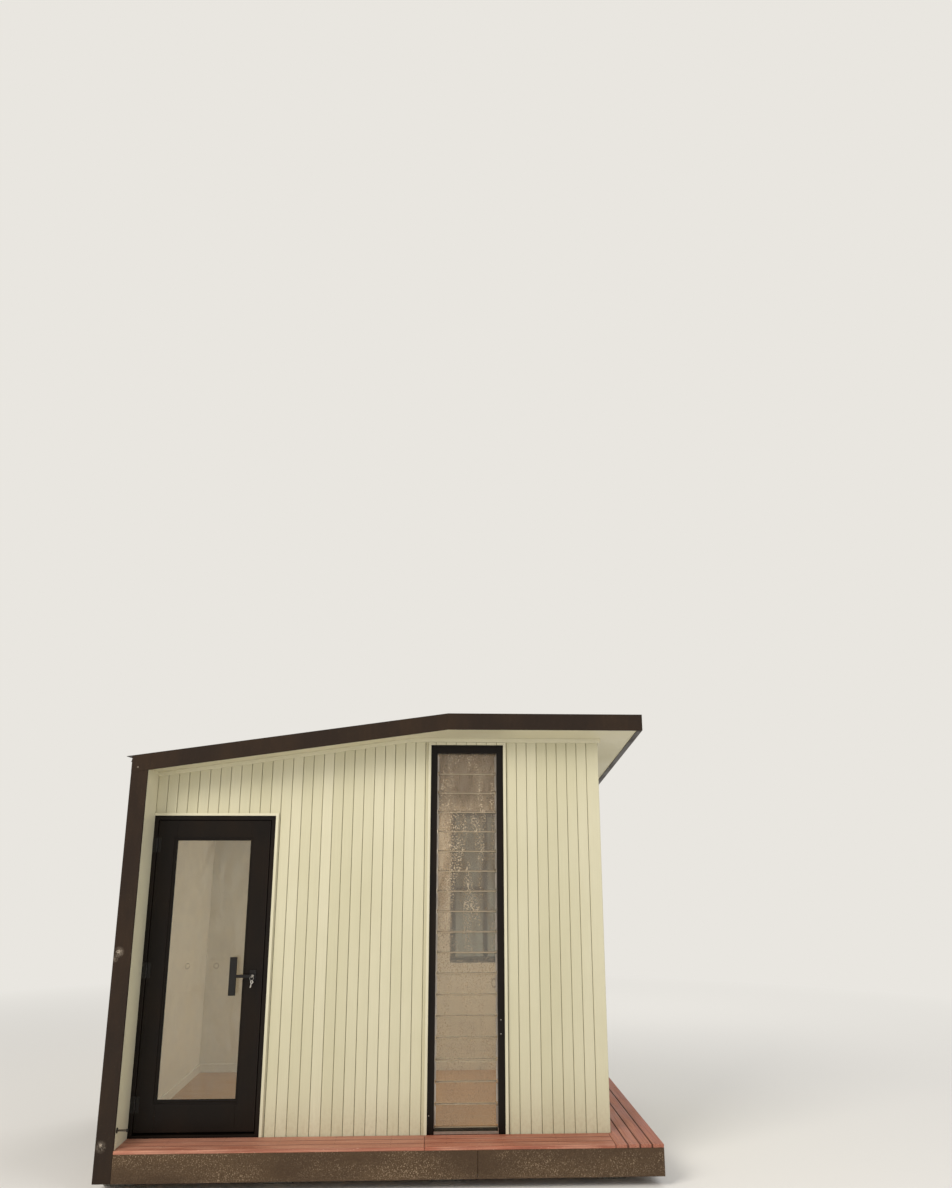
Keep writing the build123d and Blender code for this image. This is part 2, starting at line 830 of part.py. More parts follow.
def door_pull() -> Part:
    """Lock plate and key cylinder on the stile, with an arm to an upright grip over the glass.

    Inside, a matching plate carries a thumb turn.
    """
    lock_x = leaf_right_x - stile_width / 2
    z = deck_top + pull_height
    plate_front = frame_front_y - lock_plate_thickness
    bar_back = frame_front_y - pull_stand_off
    bar_front = bar_back - pull_bar_thickness
    cylinder = Pos(lock_x, plate_front - lock_cylinder_length / 2, z) * (
        Rot(X=90) * Cylinder(lock_cylinder_radius, lock_cylinder_length)
    )

    bar_x = lock_x - pull_bar_offset
    bar = Pos(bar_x, (bar_front + bar_back) / 2, z) * Box(
        pull_bar_width, pull_bar_thickness, pull_bar_height
    )
    bar = fillet(bar.edges().filter_by(Axis.Z), pull_bar_thickness * 0.35)
    neck_x = lock_x - lock_plate_width / 2
    arm_end = neck_x + pull_arm_height
    arm_z0 = z - pull_arm_height / 2
    arm_z1 = z + pull_arm_height / 2
    neck = block(neck_x, arm_end, bar_front, plate_front, arm_z0, arm_z1)
    arm = block(bar_x, arm_end, bar_front, bar_back, arm_z0, arm_z1)
    outside = lock_plate(plate_front) + cylinder + neck + arm + bar

    turn_y = leaf_back_y + lock_plate_thickness + lock_cylinder_length / 2
    turn = Pos(lock_x, turn_y, z) * Box(
        lock_cylinder_radius, lock_cylinder_length, 3 * lock_cylinder_radius
    )
    inside = lock_plate(leaf_back_y) + turn
    return Compound(children=[outside, inside])


def door_stop() -> Part:
    """Rod stop on the fin that meets the opened leaf near the deck."""
    root = Pos(lining_x, trim_back_y + stop_from_front, deck_top + stop_above_deck) * Rot(Y=90)
    base = Pos(0, 0, stop_base_thickness / 2) * Cylinder(stop_base_radius, stop_base_thickness)
    rod = Pos(0, 0, stop_length / 2) * Cylinder(stop_rod_radius, stop_length)
    tip = Pos(0, 0, stop_length - stop_tip_length / 2) * Cylinder(stop_tip_radius, stop_tip_length)
    return root * (base + rod + tip)


# Louvre window lines
window_front_y = wall_front_y + window_frame_set_back
window_back_y = window_front_y + window_frame_depth
blade_y = (window_front_y + window_back_y) / 2
glass_bottom_z = deck_top + window_frame_sill + blade_end_gap
glass_top_z = window_top_z - window_frame_head - blade_end_gap
blade_pitch = (glass_top_z - glass_bottom_z - blade_overlap) / blade_count
blade_height = blade_pitch + blade_overlap
blade_tilt = degrees(asin((glass_thickness + blade_spacing_gap) / blade_pitch))


def louvre_jambs() -> Part:
    """Sides of the louvre window's frame."""
    lefts = (window_left_x, window_right_x - window_frame_side)
    return Compound(
        children=[
            block(x, x + window_frame_side, window_front_y, window_back_y, frame_top, window_top_z)
            for x in lefts
        ]
    )


def louvre_head_sill() -> Part:
    """Head and sill of the louvre window's frame, between the sides."""
    x0 = window_left_x + window_frame_side
    x1 = window_right_x - window_frame_side
    head = block(x0, x1, window_front_y, window_back_y, window_top_z - window_frame_head, window_top_z)
    sill_top = deck_top + window_frame_sill
    sill = prism_x(
        [
            (window_front_y, frame_top),
            (window_back_y, frame_top),
            (window_back_y, sill_top),
            (window_front_y, sill_top - window_frame_sill / 3),
        ],
        x0,
        x1,
    )
    return Compound(children=[head, sill])


def blade_place(index: int) -> Location:
    """Place of one blade: its middle, tilted so that its lower edge stands outwards."""
    z = glass_bottom_z + blade_height / 2 + index * blade_pitch
    return Pos((window_left_x + window_right_x) / 2, blade_y, z) * Rot(X=-blade_tilt)


def louvre_blades() -> Part:
    """Overlapping glass blades, each let into a clip at both ends."""
    width = window_width - 2 * (window_frame_side + gallery_thickness + clip_reach - blade_seat)
    blades = []
    for i in range(blade_count):
        blades.append(blade_place(i) * Box(width, glass_thickness, blade_height * 0.998))
    return Compound(children=blades)


def gallery(edge: float, inward: int) -> Part:
    """Upright channel on one jamb, with a clip that holds the end of every blade."""
    far = edge + inward * gallery_thickness
    channel = block(
        min(edge, far),
        max(edge, far),
        blade_y - gallery_depth / 2,
        blade_y + gallery_depth / 2,
        deck_top + window_frame_sill,
        window_top_z - window_frame_head,
    )
    reach = far + inward * clip_reach / 2 - (window_left_x + window_right_x) / 2
    for i in range(blade_count):
        channel += blade_place(i) * (Pos(reach, 0, 0) * Box(clip_reach, clip_depth, clip_length))
    return channel - louvre_blades()


def louvre_galleries() -> Part:
    """The galleries on both jambs, with the opening levers on the right one."""
    left = gallery(window_left_x + window_frame_side, 1)
    right = gallery(window_right_x - window_frame_side, -1)
    lever_right_x = window_right_x - window_frame_side - gallery_thickness
    for height in lever_heights:
        right += block(
            lever_right_x - lever_thickness,
            lever_right_x,
            blade_y + clip_depth / 2 + lever_thickness,
            blade_y + gallery_depth / 2 + lever_width,
            deck_top + height,
            deck_top + height + lever_length,
        )
    return Compound(children=[left, right])


def back_window_panes() -> list[tuple[float, float, float, float]]:
    """Clear opening of each pane: left, right, bottom and top."""
    x0, x1, z0, z1 = (
        edge + side * back_window_face for edge, side in zip(back_window_edges(), (1, -1, 1, -1))
    )
    mullion = x0 + back_window_side_light
    transom = z0 + back_window_lower_light
    return [
        (x0, mullion, z0, transom),
        (x0, mullion, transom + back_window_bar, z1),
        (mullion + back_window_bar, x1, z0, z1),
    ]


def back_window_frame() -> Part:
    """Frame in the back wall with one upright bar and one cross bar."""
    x0, x1, z0, z1 = back_window_edges()
    y0 = wall_rear_y - back_window_depth
    frame = block(x0, x1, y0, wall_rear_y, z0, z1)
    for pane in back_window_panes():
        frame -= block(pane[0], pane[1], y0, wall_rear_y, pane[2], pane[3])
    return frame - back_window_glass()


def back_window_glass() -> Part:
    """A pane of glass let into each light of the back window."""
    y = wall_rear_y - back_window_depth / 2
    half = glass_thickness / 2
    lap = glass_rebate
    panes = []
    for x0, x1, z0, z1 in back_window_panes():
        panes.append(block(x0 - lap, x1 + lap, y - half, y + half, z0 - lap, z1 + lap))
    return Compound(children=panes)


def pod() -> dict[str, Part]:
    """Every piece of the pod by its node name."""
    return {
        "footing_pads": footing_pads(),
        "floor_joists": floor_joists(),
        "rim_joists": rim_joists(),
        "floor_sheet": floor_sheet(),
        "deck_front_boards": deck_front_boards(),
        "deck_side_boards": deck_side_boards(),
        "deck_fascia": deck_fascia(),
        "base_skirts": base_skirts(),
        "left_wall": left_wall(),
        "fin_lining": fin_lining(),
        "fin_front_trim": fin_front_trim(),
        "front_wall_over_door": front_wall(lining_x, door_right_x, door_head_z),
        "front_wall_middle": front_wall(door_right_x, window_left_x, frame_top),
        "front_wall_over_window": front_wall(window_left_x, window_right_x, window_top_z),
        "front_wall_right": front_wall(window_right_x, wall_right_x, frame_top),
        "right_wall": right_wall(),
        "back_wall_sides": back_wall_sides(),
        "back_wall_panels": back_wall_panels(),
        "roof_core_left": roof_core(False),
        "roof_core_main": roof_core(True),
        "soffit_left": soffit(False),
        "soffit_main": soffit(True),
        "fascia_front_left": front_fascia(False),
        "fascia_front_right": front_fascia(True),
        "fascia_right": right_fascia(),
        "fascia_left": left_fascia(),
        "fascia_rear": rear_fascia(),
        "roof_sheet_left": roof_sheet(False),
        "roof_sheet_main": roof_sheet(True),
        "hip_cap": hip_cap(),
        "soffit_bead": soffit_bead(),
        "opening_beads": opening_beads(),
        "door_jambs": door_jambs(),
        "door_head": door_head(),
        "door_threshold": door_threshold(),
        "frame_hinges": frame_hinges(),
        "door_stop": door_stop(),
        "door_stiles": door_stiles(),
        "door_rails": door_rails(),
        "door_glass": door_glass(),
        "door_hinges": door_hinges(),
        "door_pull": door_pull(),
        "louvre_jambs": louvre_jambs(),
        "louvre_head_sill": louvre_head_sill(),
        "louvre_galleries": louvre_galleries(),
        "louvre_blades": louvre_blades(),
        "back_window_frame": back_window_frame(),
        "back_window_glass": back_window_glass(),
    }


os.makedirs("parts", exist_ok=True)
for name, piece in pod().items():
    export_step(piece, f"parts/{name}.step")
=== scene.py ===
"""Looks of the garden office pod: boards, paint, dark metal, glass, hardwood deck and room."""

import json
import logging
import math
import random
from dataclasses import dataclass, replace
from enum import Enum
from functools import cached_property
from typing import Any, Callable, Iterable, Sequence

import bmesh
import bpy
from bmesh.types import BMesh, BMVert
from bpy.types import Material, Node, NodeSocket, Object, World
from mathutils import Matrix, Vector

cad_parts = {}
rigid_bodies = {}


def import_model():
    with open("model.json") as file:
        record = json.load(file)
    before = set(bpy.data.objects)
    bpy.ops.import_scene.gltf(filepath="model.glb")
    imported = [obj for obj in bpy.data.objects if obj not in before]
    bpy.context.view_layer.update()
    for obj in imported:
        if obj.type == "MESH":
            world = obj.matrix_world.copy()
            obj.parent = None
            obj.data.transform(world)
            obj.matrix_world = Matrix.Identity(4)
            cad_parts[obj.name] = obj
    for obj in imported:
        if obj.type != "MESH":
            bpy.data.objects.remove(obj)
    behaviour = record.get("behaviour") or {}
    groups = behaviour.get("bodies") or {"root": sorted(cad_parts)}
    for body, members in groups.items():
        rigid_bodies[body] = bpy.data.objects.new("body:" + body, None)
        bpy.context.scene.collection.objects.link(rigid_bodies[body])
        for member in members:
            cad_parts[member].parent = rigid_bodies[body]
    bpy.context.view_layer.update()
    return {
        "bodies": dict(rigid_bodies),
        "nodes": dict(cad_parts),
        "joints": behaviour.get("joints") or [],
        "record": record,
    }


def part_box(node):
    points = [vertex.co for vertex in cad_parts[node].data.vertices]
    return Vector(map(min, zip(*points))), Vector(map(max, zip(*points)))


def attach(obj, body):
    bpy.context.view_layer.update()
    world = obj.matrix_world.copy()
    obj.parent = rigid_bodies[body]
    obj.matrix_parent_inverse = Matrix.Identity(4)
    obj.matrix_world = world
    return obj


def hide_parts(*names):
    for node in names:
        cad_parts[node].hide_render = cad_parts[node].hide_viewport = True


log = logging.getLogger("pod")

Pair = tuple[float, float]
Triple = tuple[float, float, float]
Coat = tuple[NodeSocket, str]    # how much of it lies where, and its colour

X, Y, Z = 0, 1, 2
UP = (0, 0, 1)
FORWARDS = (0, -1, 0)
STAND = Matrix.Rotation(math.radians(90), 4, "X")    # turns a flat sheet to face the front
MM = 0.001
HAIR = 1e-5                      # metres: places nearer than this are the same
CUT_SLACK = 1e-6                 # metres: points nearer than this to a cut lie on it
FLAT = 0.5                       # degrees: faces that turn by less are one
OVERHEAD = 9.0                   # metres: above everything
TONE = "tone"                    # face attribute that sets one board apart from the next
TONES = 97                       # tones that the boards share
TONE_SEED = 11
TONE_SHIFT = (5.3, 7.1, 3.7)     # metres that the grain moves from one end of the tones to the other


def linear(code: str) -> tuple[float, float, float, float]:
    """Turns an sRGB colour into the linear values that shaders take.

    Args:
        code: a hex colour such as "#cfcaa6".

    Returns:
        Linear red, green and blue, and an alpha of 1.
    """
    parts = [int(code[i:i + 2], 16) / 255 for i in (1, 3, 5)]
    red, green, blue = (p / 12.92 if p <= 0.04045 else ((p + 0.055) / 1.055) ** 2.4 for p in parts)
    return red, green, blue, 1.0


# Materials

@dataclass(frozen=True)
class Grain:
    """A noise pattern whose patches have a real size.

    size is a patch along X, Y and Z in millimetres, low and high are where the noise turns
    from none to full, detail adds finer patches, and twist bends them.
    """

    size: Triple
    low: float = 0.4
    high: float = 0.7
    detail: float = 3.0
    twist: float = 0.0


@dataclass(frozen=True)
class Row:
    """Parallel lines that repeat along an axis: the first one's place, their pitch and number."""

    axis: str
    start: float
    pitch: float
    count: int


class Recipe:
    """Lays the shader nodes of a material or of the world."""

    line_core = 0.35    # share of a line's reach that has its full strength
    spot_core = 0.2     # the same for a round patch

    def __init__(self, holder: Material | World) -> None:
        """Starts with no nodes.

        Args:
            holder: the material or world that the nodes are for.
        """
        holder.use_nodes = True
        self.graph = holder.node_tree
        self.graph.nodes.clear()

    @cached_property
    def place(self) -> NodeSocket:
        """The Object coordinates that every pattern reads."""
        return self.add("TexCoord").outputs["Object"]

    def add(self, kind: str, inputs: dict[str | int, Any] | None = None, **settings: Any) -> Node:
        """Adds a node with its settings and links.

        Args:
            kind: the node's type, without ShaderNode.
            inputs: a value, or the output to link, for each input.
            **settings: the node's own properties.

        Returns:
            The new node.
        """
        node = self.graph.nodes.new("ShaderNode" + kind)
        for name, value in settings.items():
            setattr(node, name, value)
        for key, value in (inputs or {}).items():
            if isinstance(value, NodeSocket):
                self.graph.links.new(value, node.inputs[key])
            else:
                node.inputs[key].default_value = value
        return node

    def pattern(self, grain: Grain, share: float = 1.0, place: NodeSocket | None = None) -> NodeSocket:
        """Makes a noise pattern of real size.

        Args:
            grain: the pattern.
            share: the value of its full patches.
            place: the coordinates, or None for the piece's own.

        Returns:
            An output from 0 to share.
        """
        spot = self.add("Mapping", {
            "Vector": place or self.place, "Scale": [1 / (size * MM) for size in grain.size],
        })
        noise = self.add("TexNoise", {
            "Vector": spot.outputs[0], "Scale": 1.0, "Detail": grain.detail, "Distortion": grain.twist,
        })
        return self.add("MapRange", {
            "Value": noise.outputs[0], "From Min": grain.low, "From Max": grain.high, "To Max": share,
        }).outputs[0]

    def lines(self, row: Row, reach: float, share: float) -> NodeSocket:
        """Marks a row of parallel lines.

        Args:
            row: the row.
            reach: how far from its middle a line has faded out, in metres.
            share: its strength in the middle.

        Returns:
            An output from 0 to share.
        """
        place = self.add("SeparateXYZ", {0: self.place}).outputs[row.axis]
        moved = self.add("Math", {0: place, 1: row.start}, operation="SUBTRACT").outputs[0]
        inside = self.add("Clamp", {
            "Value": moved, "Min": -row.pitch / 2, "Max": (row.count - 0.5) * row.pitch,
        }).outputs[0]
        away = self.add("Math", {0: inside, 1: row.pitch / 2}, operation="PINGPONG").outputs[0]
        return self.add("MapRange", {
            "Value": away, "From Min": reach, "From Max": reach * self.line_core, "To Max": share,
        }).outputs[0]

    def near(self, spot: Triple, radius: float) -> NodeSocket:
        """Marks a round patch.

        Args:
            spot: its middle.
            radius: where it has faded out, in metres.

        Returns:
            An output of 1 at the middle and 0 past the radius.
        """
        away = self.add("VectorMath", {0: self.place, 1: spot}, operation="DISTANCE").outputs["Value"]
        return self.add("MapRange", {
            "Value": away, "From Min": radius, "From Max": radius * self.spot_core,
        }).outputs[0]


@dataclass(frozen=True)
class Finish:
    """What a surface is made of. Subclasses build its material."""

    name: str
    colour: str

    def material(self) -> Material:
        """Builds the material."""
        raise NotImplementedError


@dataclass(frozen=True)
class Surface(Finish):
    """An opaque surface with broad drifts, a fine grain that also has relief, and specks.

    worn is the colour of the drifts and deep of the grain, rough is the roughness where it is
    clean and where it is worn, relief is the depth of the grain in millimetres, and tone is how
    far one board's colour may go towards worn. The specks lie in speck_drifts, if it has any.
    """

    worn: str
    deep: str
    rough: Pair
    drift: Grain
    drift_share: float
    grain: Grain
    grain_share: float
    relief: float
    specks: Grain | None = None
    speck_colour: str = "#ffffff"
    speck_share: float = 0.0
    speck_drifts: Grain | None = None
    tone: float = 0.0
    metallic: float = 0.0
    gloss: float = 0.5

    def board_place(self, recipe: Recipe, tone: NodeSocket) -> NodeSocket:
        """Coordinates that differ from board to board, so that no grain runs across a joint.

        Args:
            recipe: lays the material's nodes.
            tone: the board's tone.

        Returns:
            An output with the coordinates.
        """
        return recipe.add(
            "VectorMath", {0: tone, 1: TONE_SHIFT, 2: recipe.place}, operation="MULTIPLY_ADD"
        ).outputs[0]

    def dirt_and_painted_light(self, recipe: Recipe) -> list[Coat]:
        """The dirt and painted light that lie over everything else; a plain surface has none."""
        return []

    def material(self) -> Material:
        """Builds the material.

        Returns:
            A material with one Principled shader.
        """
        material = bpy.data.materials.new(self.name)
        recipe = Recipe(material)
        place = recipe.place
        coats: list[Coat] = []
        if self.tone:
            tone = recipe.add("Attribute", attribute_name=TONE).outputs["Vector"]
            place = self.board_place(recipe, tone)
            shade = recipe.add("MapRange", {"Value": tone, "To Max": self.tone}).outputs[0]
            coats.append((shade, self.worn))
        drift = recipe.pattern(self.drift, self.drift_share)
        grain = recipe.pattern(self.grain, place=place)
        streaks = recipe.add("MapRange", {"Value": grain, "To Max": self.grain_share}).outputs[0]
        coats += [(drift, self.worn), (streaks, self.deep)]
        if self.specks:
            specks = recipe.pattern(self.specks, self.speck_share)
            if self.speck_drifts:
                drifts = recipe.pattern(self.speck_drifts)
                specks = recipe.add("Math", {0: specks, 1: drifts}, operation="MULTIPLY").outputs[0]
            coats.append((specks, self.speck_colour))
        colour: Any = linear(self.colour)
        for share, coat in coats + self.dirt_and_painted_light(recipe):
            mixed = recipe.add("Mix", {0: share, 6: colour, 7: linear(coat)}, data_type="RGBA")
            colour = mixed.outputs[2]
        clean, worn = self.rough
        roughness = recipe.add("MapRange", {
            "Value": drift, "From Max": self.drift_share, "To Min": clean, "To Max": worn,
        })
        bump = recipe.add("Bump", {"Height": grain, "Distance": self.relief * MM, "Strength": 1.0})
        shader = recipe.add("BsdfPrincipled", {
            "Base Color": colour,
            "Roughness": roughness.outputs[0],
            "Metallic": self.metallic,
            "Specular IOR Level": self.gloss,
            "Normal": bump.outputs[0],
        })
        recipe.add("OutputMaterial", {"Surface": shader.outputs[0]})
        return material


@dataclass(frozen=True)
class SplashedSurface(Surface):
    """A surface with soil splashed up from below, fading out upwards."""

    splash: str = "#8a7355"
    splash_from: float = 0.0       # metres above the ground
    splash_to: float = 0.3
    splash_share: float = 0.5
    splash_grain: Grain = Grain((14, 14, 22), 0.42, 0.72, 5.0)

    def dirt_and_painted_light(self, recipe: Recipe) -> list[Coat]:
        """Splashed soil on the lower part.

        Args:
            recipe: lays the material's nodes.

        Returns:
            The coat of soil.
        """
        height = recipe.add("SeparateXYZ", {0: recipe.place}).outputs["Z"]
        fade = recipe.add("MapRange", {
            "Value": height, "From Min": self.splash_to, "From Max": self.splash_from,
        }).outputs[0]
        speckle = recipe.pattern(self.splash_grain, self.splash_share)
        soil = recipe.add("Math", {0: fade, 1: speckle}, operation="MULTIPLY").outputs[0]
        return [(soil, self.splash)]


@dataclass(frozen=True)
class DeckSurface(SplashedSurface):
    """Splashed boards with painted shade along the gaps between them, where shadow falls."""

    gaps: Row | None = None
    # painted shade: dark lines along the gaps between the boards, where shadow falls
    gap_shade: str = "#3f241a"
    gap_shade_reach: float = 11 * MM
    gap_shade_share: float = 0.6

    def dirt_and_painted_light(self, recipe: Recipe) -> list[Coat]:
        """Splashed soil, and painted shade along the gaps.

        Args:
            recipe: lays the material's nodes.

        Returns:
            The coats of soil and painted shade.
        """
        soil = super().dirt_and_painted_light(recipe)
        if not self.gaps:
            return soil
        return [*soil, (recipe.lines(self.gaps, self.gap_shade_reach, self.gap_shade_share), self.gap_shade)]


@dataclass(frozen=True)
class MarkedSurface(Surface):
    """A surface with a few pale dirty patches, each with its spot, radius and strength."""

    marks: tuple[tuple[Triple, float, float], ...] = ()
    mark_colour: str = "#b9ab99"
    web: Grain = Grain((16, 16, 22), 0.4, 0.62, 8.0, 2.0)

    def dirt_and_painted_light(self, recipe: Recipe) -> list[Coat]:
        """The patches.

        Args:
            recipe: lays the material's nodes.

        Returns:
            A coat for each patch.
        """
        web = recipe.pattern(self.web)
        coats = []
        for spot, radius, strength in self.marks:
            share = recipe.near(spot, radius)
            for factor in (web, strength):
                share = recipe.add("Math", {0: share, 1: factor}, operation="MULTIPLY").outputs[0]
            coats.append((share, self.mark_colour))
        return coats


@dataclass(frozen=True)
class Glass(Finish):
    """Clear float glass with a film of dust and pale specks in clusters.

    On the louvre blades the specks are partly dried drops of rain and partly a painted
    reflection of foliage. Lamps reach through the glass as through air, so that what stands
    behind it is lit. The film is full from one height and thins out down to a lower one, both in
    metres above the ground, below which it keeps least of its strength; on the louvre blades this
    is painted shade that darkens the upper blades. A film of the given tint strength gives the
    glass the whole of the dust and shade colour. Pale scale lies along the blades' lower edges,
    where edges gives them. rough is the roughness where it is clean and under a film.
    edges, where edges gives them. rough is the roughness where it is clean and under a film.
    """

    dust_and_shade_colour: str
    dust: Grain
    dust_share: float
    speckle: Grain
    drops_and_reflection_share: float
    drops_and_reflection_colour: str = "#d8ccb4"
    drops_and_reflection_clusters: Grain = Grain((180, 180, 420), 0.42, 0.62, 2.0, 0.5)
    film_full_from: float = 0.1
    film_thin_below: float = 0.0
    least: float = 1.0
    film_full_tint: float = 1.0
    edges: Row | None = None
    scale_reach: float = 6 * MM
    scale_share: float = 0.5
    rough: Pair = (0.01, 0.35)
    ior: float = 1.5

    def material(self) -> Material:
        """Builds the material.

        Returns:
            A material that is glass to sight and nearly open to lamps.
        """
        material = bpy.data.materials.new(self.name)
        recipe = Recipe(material)
        dust = recipe.pattern(self.dust, self.dust_share)
        speckle = recipe.pattern(self.speckle, self.drops_and_reflection_share)
        # pale specks in clusters: dried drops, and on the louvre blades partly a painted reflection of
        # foliage
        drops_and_reflection_clusters = recipe.pattern(self.drops_and_reflection_clusters)
        specks = recipe.add("Math", {0: speckle, 1: drops_and_reflection_clusters}, operation="MULTIPLY").outputs[0]
        both = recipe.add("Math", {0: specks, 1: dust}, operation="ADD", use_clamp=True).outputs[0]
        # painted shade: on the louvre blades the film keeps only a fifth of its strength low down and
        # grows to full at the top, which darkens and browns the upper blades
        strength = recipe.add("MapRange", {
            "Value": recipe.add("SeparateXYZ", {0: recipe.place}).outputs["Z"],
            "From Min": self.film_thin_below, "From Max": self.film_full_from, "To Min": self.least,
        }).outputs[0]
        film = recipe.add("Math", {0: both, 1: strength}, operation="MULTIPLY").outputs[0]
        if self.edges:
            scale = recipe.lines(self.edges, self.scale_reach, self.scale_share)
            film, specks = (
                recipe.add("Math", {0: dirt_and_painted_light, 1: scale}, operation="MAXIMUM").outputs[0]
                for dirt_and_painted_light in (film, specks)
            )
        clear = recipe.add("Math", {0: 1.0, 1: film}, operation="SUBTRACT").outputs[0]
        film_tinted = recipe.add("MapRange", {"Value": film, "From Max": self.film_full_tint}).outputs[0]
        colour: Any = linear(self.colour)
        for share, coat in ((film_tinted, self.dust_and_shade_colour), (specks, self.drops_and_reflection_colour)):
            mixed = recipe.add("Mix", {0: share, 6: colour, 7: linear(coat)}, data_type="RGBA")
            colour = mixed.outputs[2]
        clean, filmed = self.rough
        roughness = recipe.add("MapRange", {"Value": film, "To Min": clean, "To Max": filmed})
        shader = recipe.add("BsdfPrincipled", {
            "Base Color": colour,
            "Roughness": roughness.outputs[0],
            "IOR": self.ior,
            "Transmission Weight": clear,
        })
        way_through = recipe.add("BsdfTransparent", {"Color": linear(self.colour)})
        path = recipe.add("LightPath")
        either = recipe.add("MixShader", {
            0: path.outputs["Is Shadow Ray"], 1: shader.outputs[0], 2: way_through.outputs[0],
        })
        recipe.add("OutputMaterial", {"Surface": either.outputs[0]})
        return material


# Satin acrylic on grooved softwood boards: pale sage, chalky in drifts, with a hint of the grain
BOARD_PAINT = SplashedSurface(
    name="satin_sage_paint_on_boards", colour="#cfc9ad", worn="#bab492", deep="#b0a986",
    rough=(0.42, 0.6), drift=Grain((650, 650, 900)), drift_share=0.35,
    grain=Grain((7, 7, 420), 0.3, 0.75, 4.0), grain_share=0.16, relief=0.12, tone=0.42,
    specks=Grain((5, 5, 7), 0.72, 0.8, 2.0), speck_colour="#8d8462", speck_share=0.35,
    splash="#a08a68", splash_from=0.25, splash_to=0.48, splash_share=0.26,
)
# The same paint brushed on plain trim: even, with fine brush lines
TRIM_PAINT = Surface(
    name="satin_sage_paint_on_trim", colour="#d2ccb1", worn="#bfb997", deep="#b8b191",
    rough=(0.4, 0.55), drift=Grain((500, 500, 500)), drift_share=0.3,
    grain=Grain((12, 12, 60), 0.3, 0.75, 3.0), grain_share=0.12, relief=0.05,
    specks=Grain((6, 6, 6), 0.74, 0.82, 2.0), speck_colour="#8d8462", speck_share=0.25,
)
# Charcoal masonry-grade paint on the boards of the left wall: dull, with dusty drifts
DARK_BOARD_PAINT = SplashedSurface(
    name="charcoal_paint_on_boards", colour="#2f2c2a", worn="#413b34", deep="#242120",
    rough=(0.5, 0.7), drift=Grain((600, 600, 800)), drift_share=0.4,
    grain=Grain((7, 7, 420), 0.3, 0.75, 4.0), grain_share=0.3, relief=0.12, tone=0.3,
    splash="#6a5a45", splash_from=0.1, splash_to=0.5, splash_share=0.5,
)
# Pre-painted steel flashings: satin charcoal with a thin film of dust and a few pale spots
EDGE_METAL = MarkedSurface(
    name="prepainted_steel_flashing", colour="#261b13", worn="#38291b", deep="#1f1710", gloss=0.22,
    rough=(0.36, 0.55), drift=Grain((260, 260, 520), 0.42, 0.68, 5.0), drift_share=0.5,
    grain=Grain((22, 22, 160), 0.35, 0.7, 3.0), grain_share=0.35, relief=0.03,
    specks=Grain((4, 4, 4), 0.71, 0.76, 2.0), speck_colour="#8b7d68", speck_share=0.4,
    marks=(((-1.767, -1.25, 2.672), 0.008, 0.7), ((-1.777, -1.25, 1.445), 0.038, 0.5),
           ((-1.782, -1.25, 1.447), 0.014, 1.0), ((-1.80, -1.25, 1.40), 0.024, 0.35),
           ((-1.776, -1.25, 0.275), 0.040, 0.35), ((-1.779, -1.25, 0.287), 0.011, 1.0)),
)
# Ribbed steel roofing, painted the same and washed by rain
ROOF_METAL = Surface(
    name="prepainted_steel_roofing", colour="#2c2a28", worn="#433c34", deep="#232120", gloss=0.35,
    rough=(0.36, 0.58), drift=Grain((420, 700, 420), 0.4, 0.7, 5.0), drift_share=0.45,
    grain=Grain((60, 60, 60), 0.35, 0.7, 4.0), grain_share=0.3, relief=0.03,
    specks=Grain((8, 8, 8), 0.7, 0.76, 3.0), speck_colour="#7d705c", speck_share=0.4,
)
# Powder coat on the door and window frames: near-black brown, satin, a little dusty
FRAME_COAT = Surface(
    name="black_powder_coat", colour="#130e0a", worn="#241a11", deep="#0e0a07", gloss=0.16,
    rough=(0.36, 0.52), drift=Grain((220, 220, 380), 0.42, 0.7, 4.0), drift_share=0.4,
    grain=Grain((3.5, 3.5, 3.5), 0.3, 0.7, 1.0), grain_share=0.15, relief=0.015,
    specks=Grain((5, 5, 5), 0.73, 0.79, 2.0), speck_colour="#6f6250", speck_share=0.4,
)
# Smooth black enamel on the pull, hinges and stop: it shines where hands rub it
HARDWARE_COAT = Surface(
    name="black_enamel_hardware", colour="#141211", worn="#25211e", deep="#0f0e0d", gloss=0.3,
    rough=(0.28, 0.42), drift=Grain((40, 40, 60)), drift_share=0.4,
    grain=Grain((2.5, 2.5, 2.5), 0.3, 0.7, 1.0), grain_share=0.1, relief=0.01,
)
# Oiled hardwood decking: terracotta red-brown, long dark grain lines, greyed and dusty in wear
DECK_ALONG = DeckSurface(
    name="oiled_hardwood_front_boards", colour="#a9634a", worn="#cf9d84", deep="#6f3728",
    rough=(0.5, 0.75), drift=Grain((300, 34, 34), 0.4, 0.66, 5.0), drift_share=0.7,
    grain=Grain((340, 3.2, 6), 0.36, 0.64, 5.0, 0.4), grain_share=0.65, relief=0.4, tone=0.55,
    specks=Grain((22, 5, 5), 0.62, 0.72, 4.0), speck_colour="#e6bfa6", speck_share=0.55,
    splash="#5d3526", splash_from=0.2, splash_to=0.245, splash_share=0.6,
)
DECK_ACROSS = DeckSurface(
    name="oiled_hardwood_side_boards", colour="#a05c45", worn="#c08a70", deep="#693426",
    rough=(0.5, 0.75), drift=Grain((34, 300, 34), 0.4, 0.66, 5.0), drift_share=0.65,
    grain=Grain((3.2, 340, 6), 0.36, 0.64, 5.0, 0.4), grain_share=0.65, relief=0.4, tone=0.55,
    specks=Grain((5, 22, 5), 0.62, 0.72, 4.0), speck_colour="#dab096", speck_share=0.5,
    splash="#5d3526", splash_from=0.2, splash_to=0.245, splash_share=0.6,
)
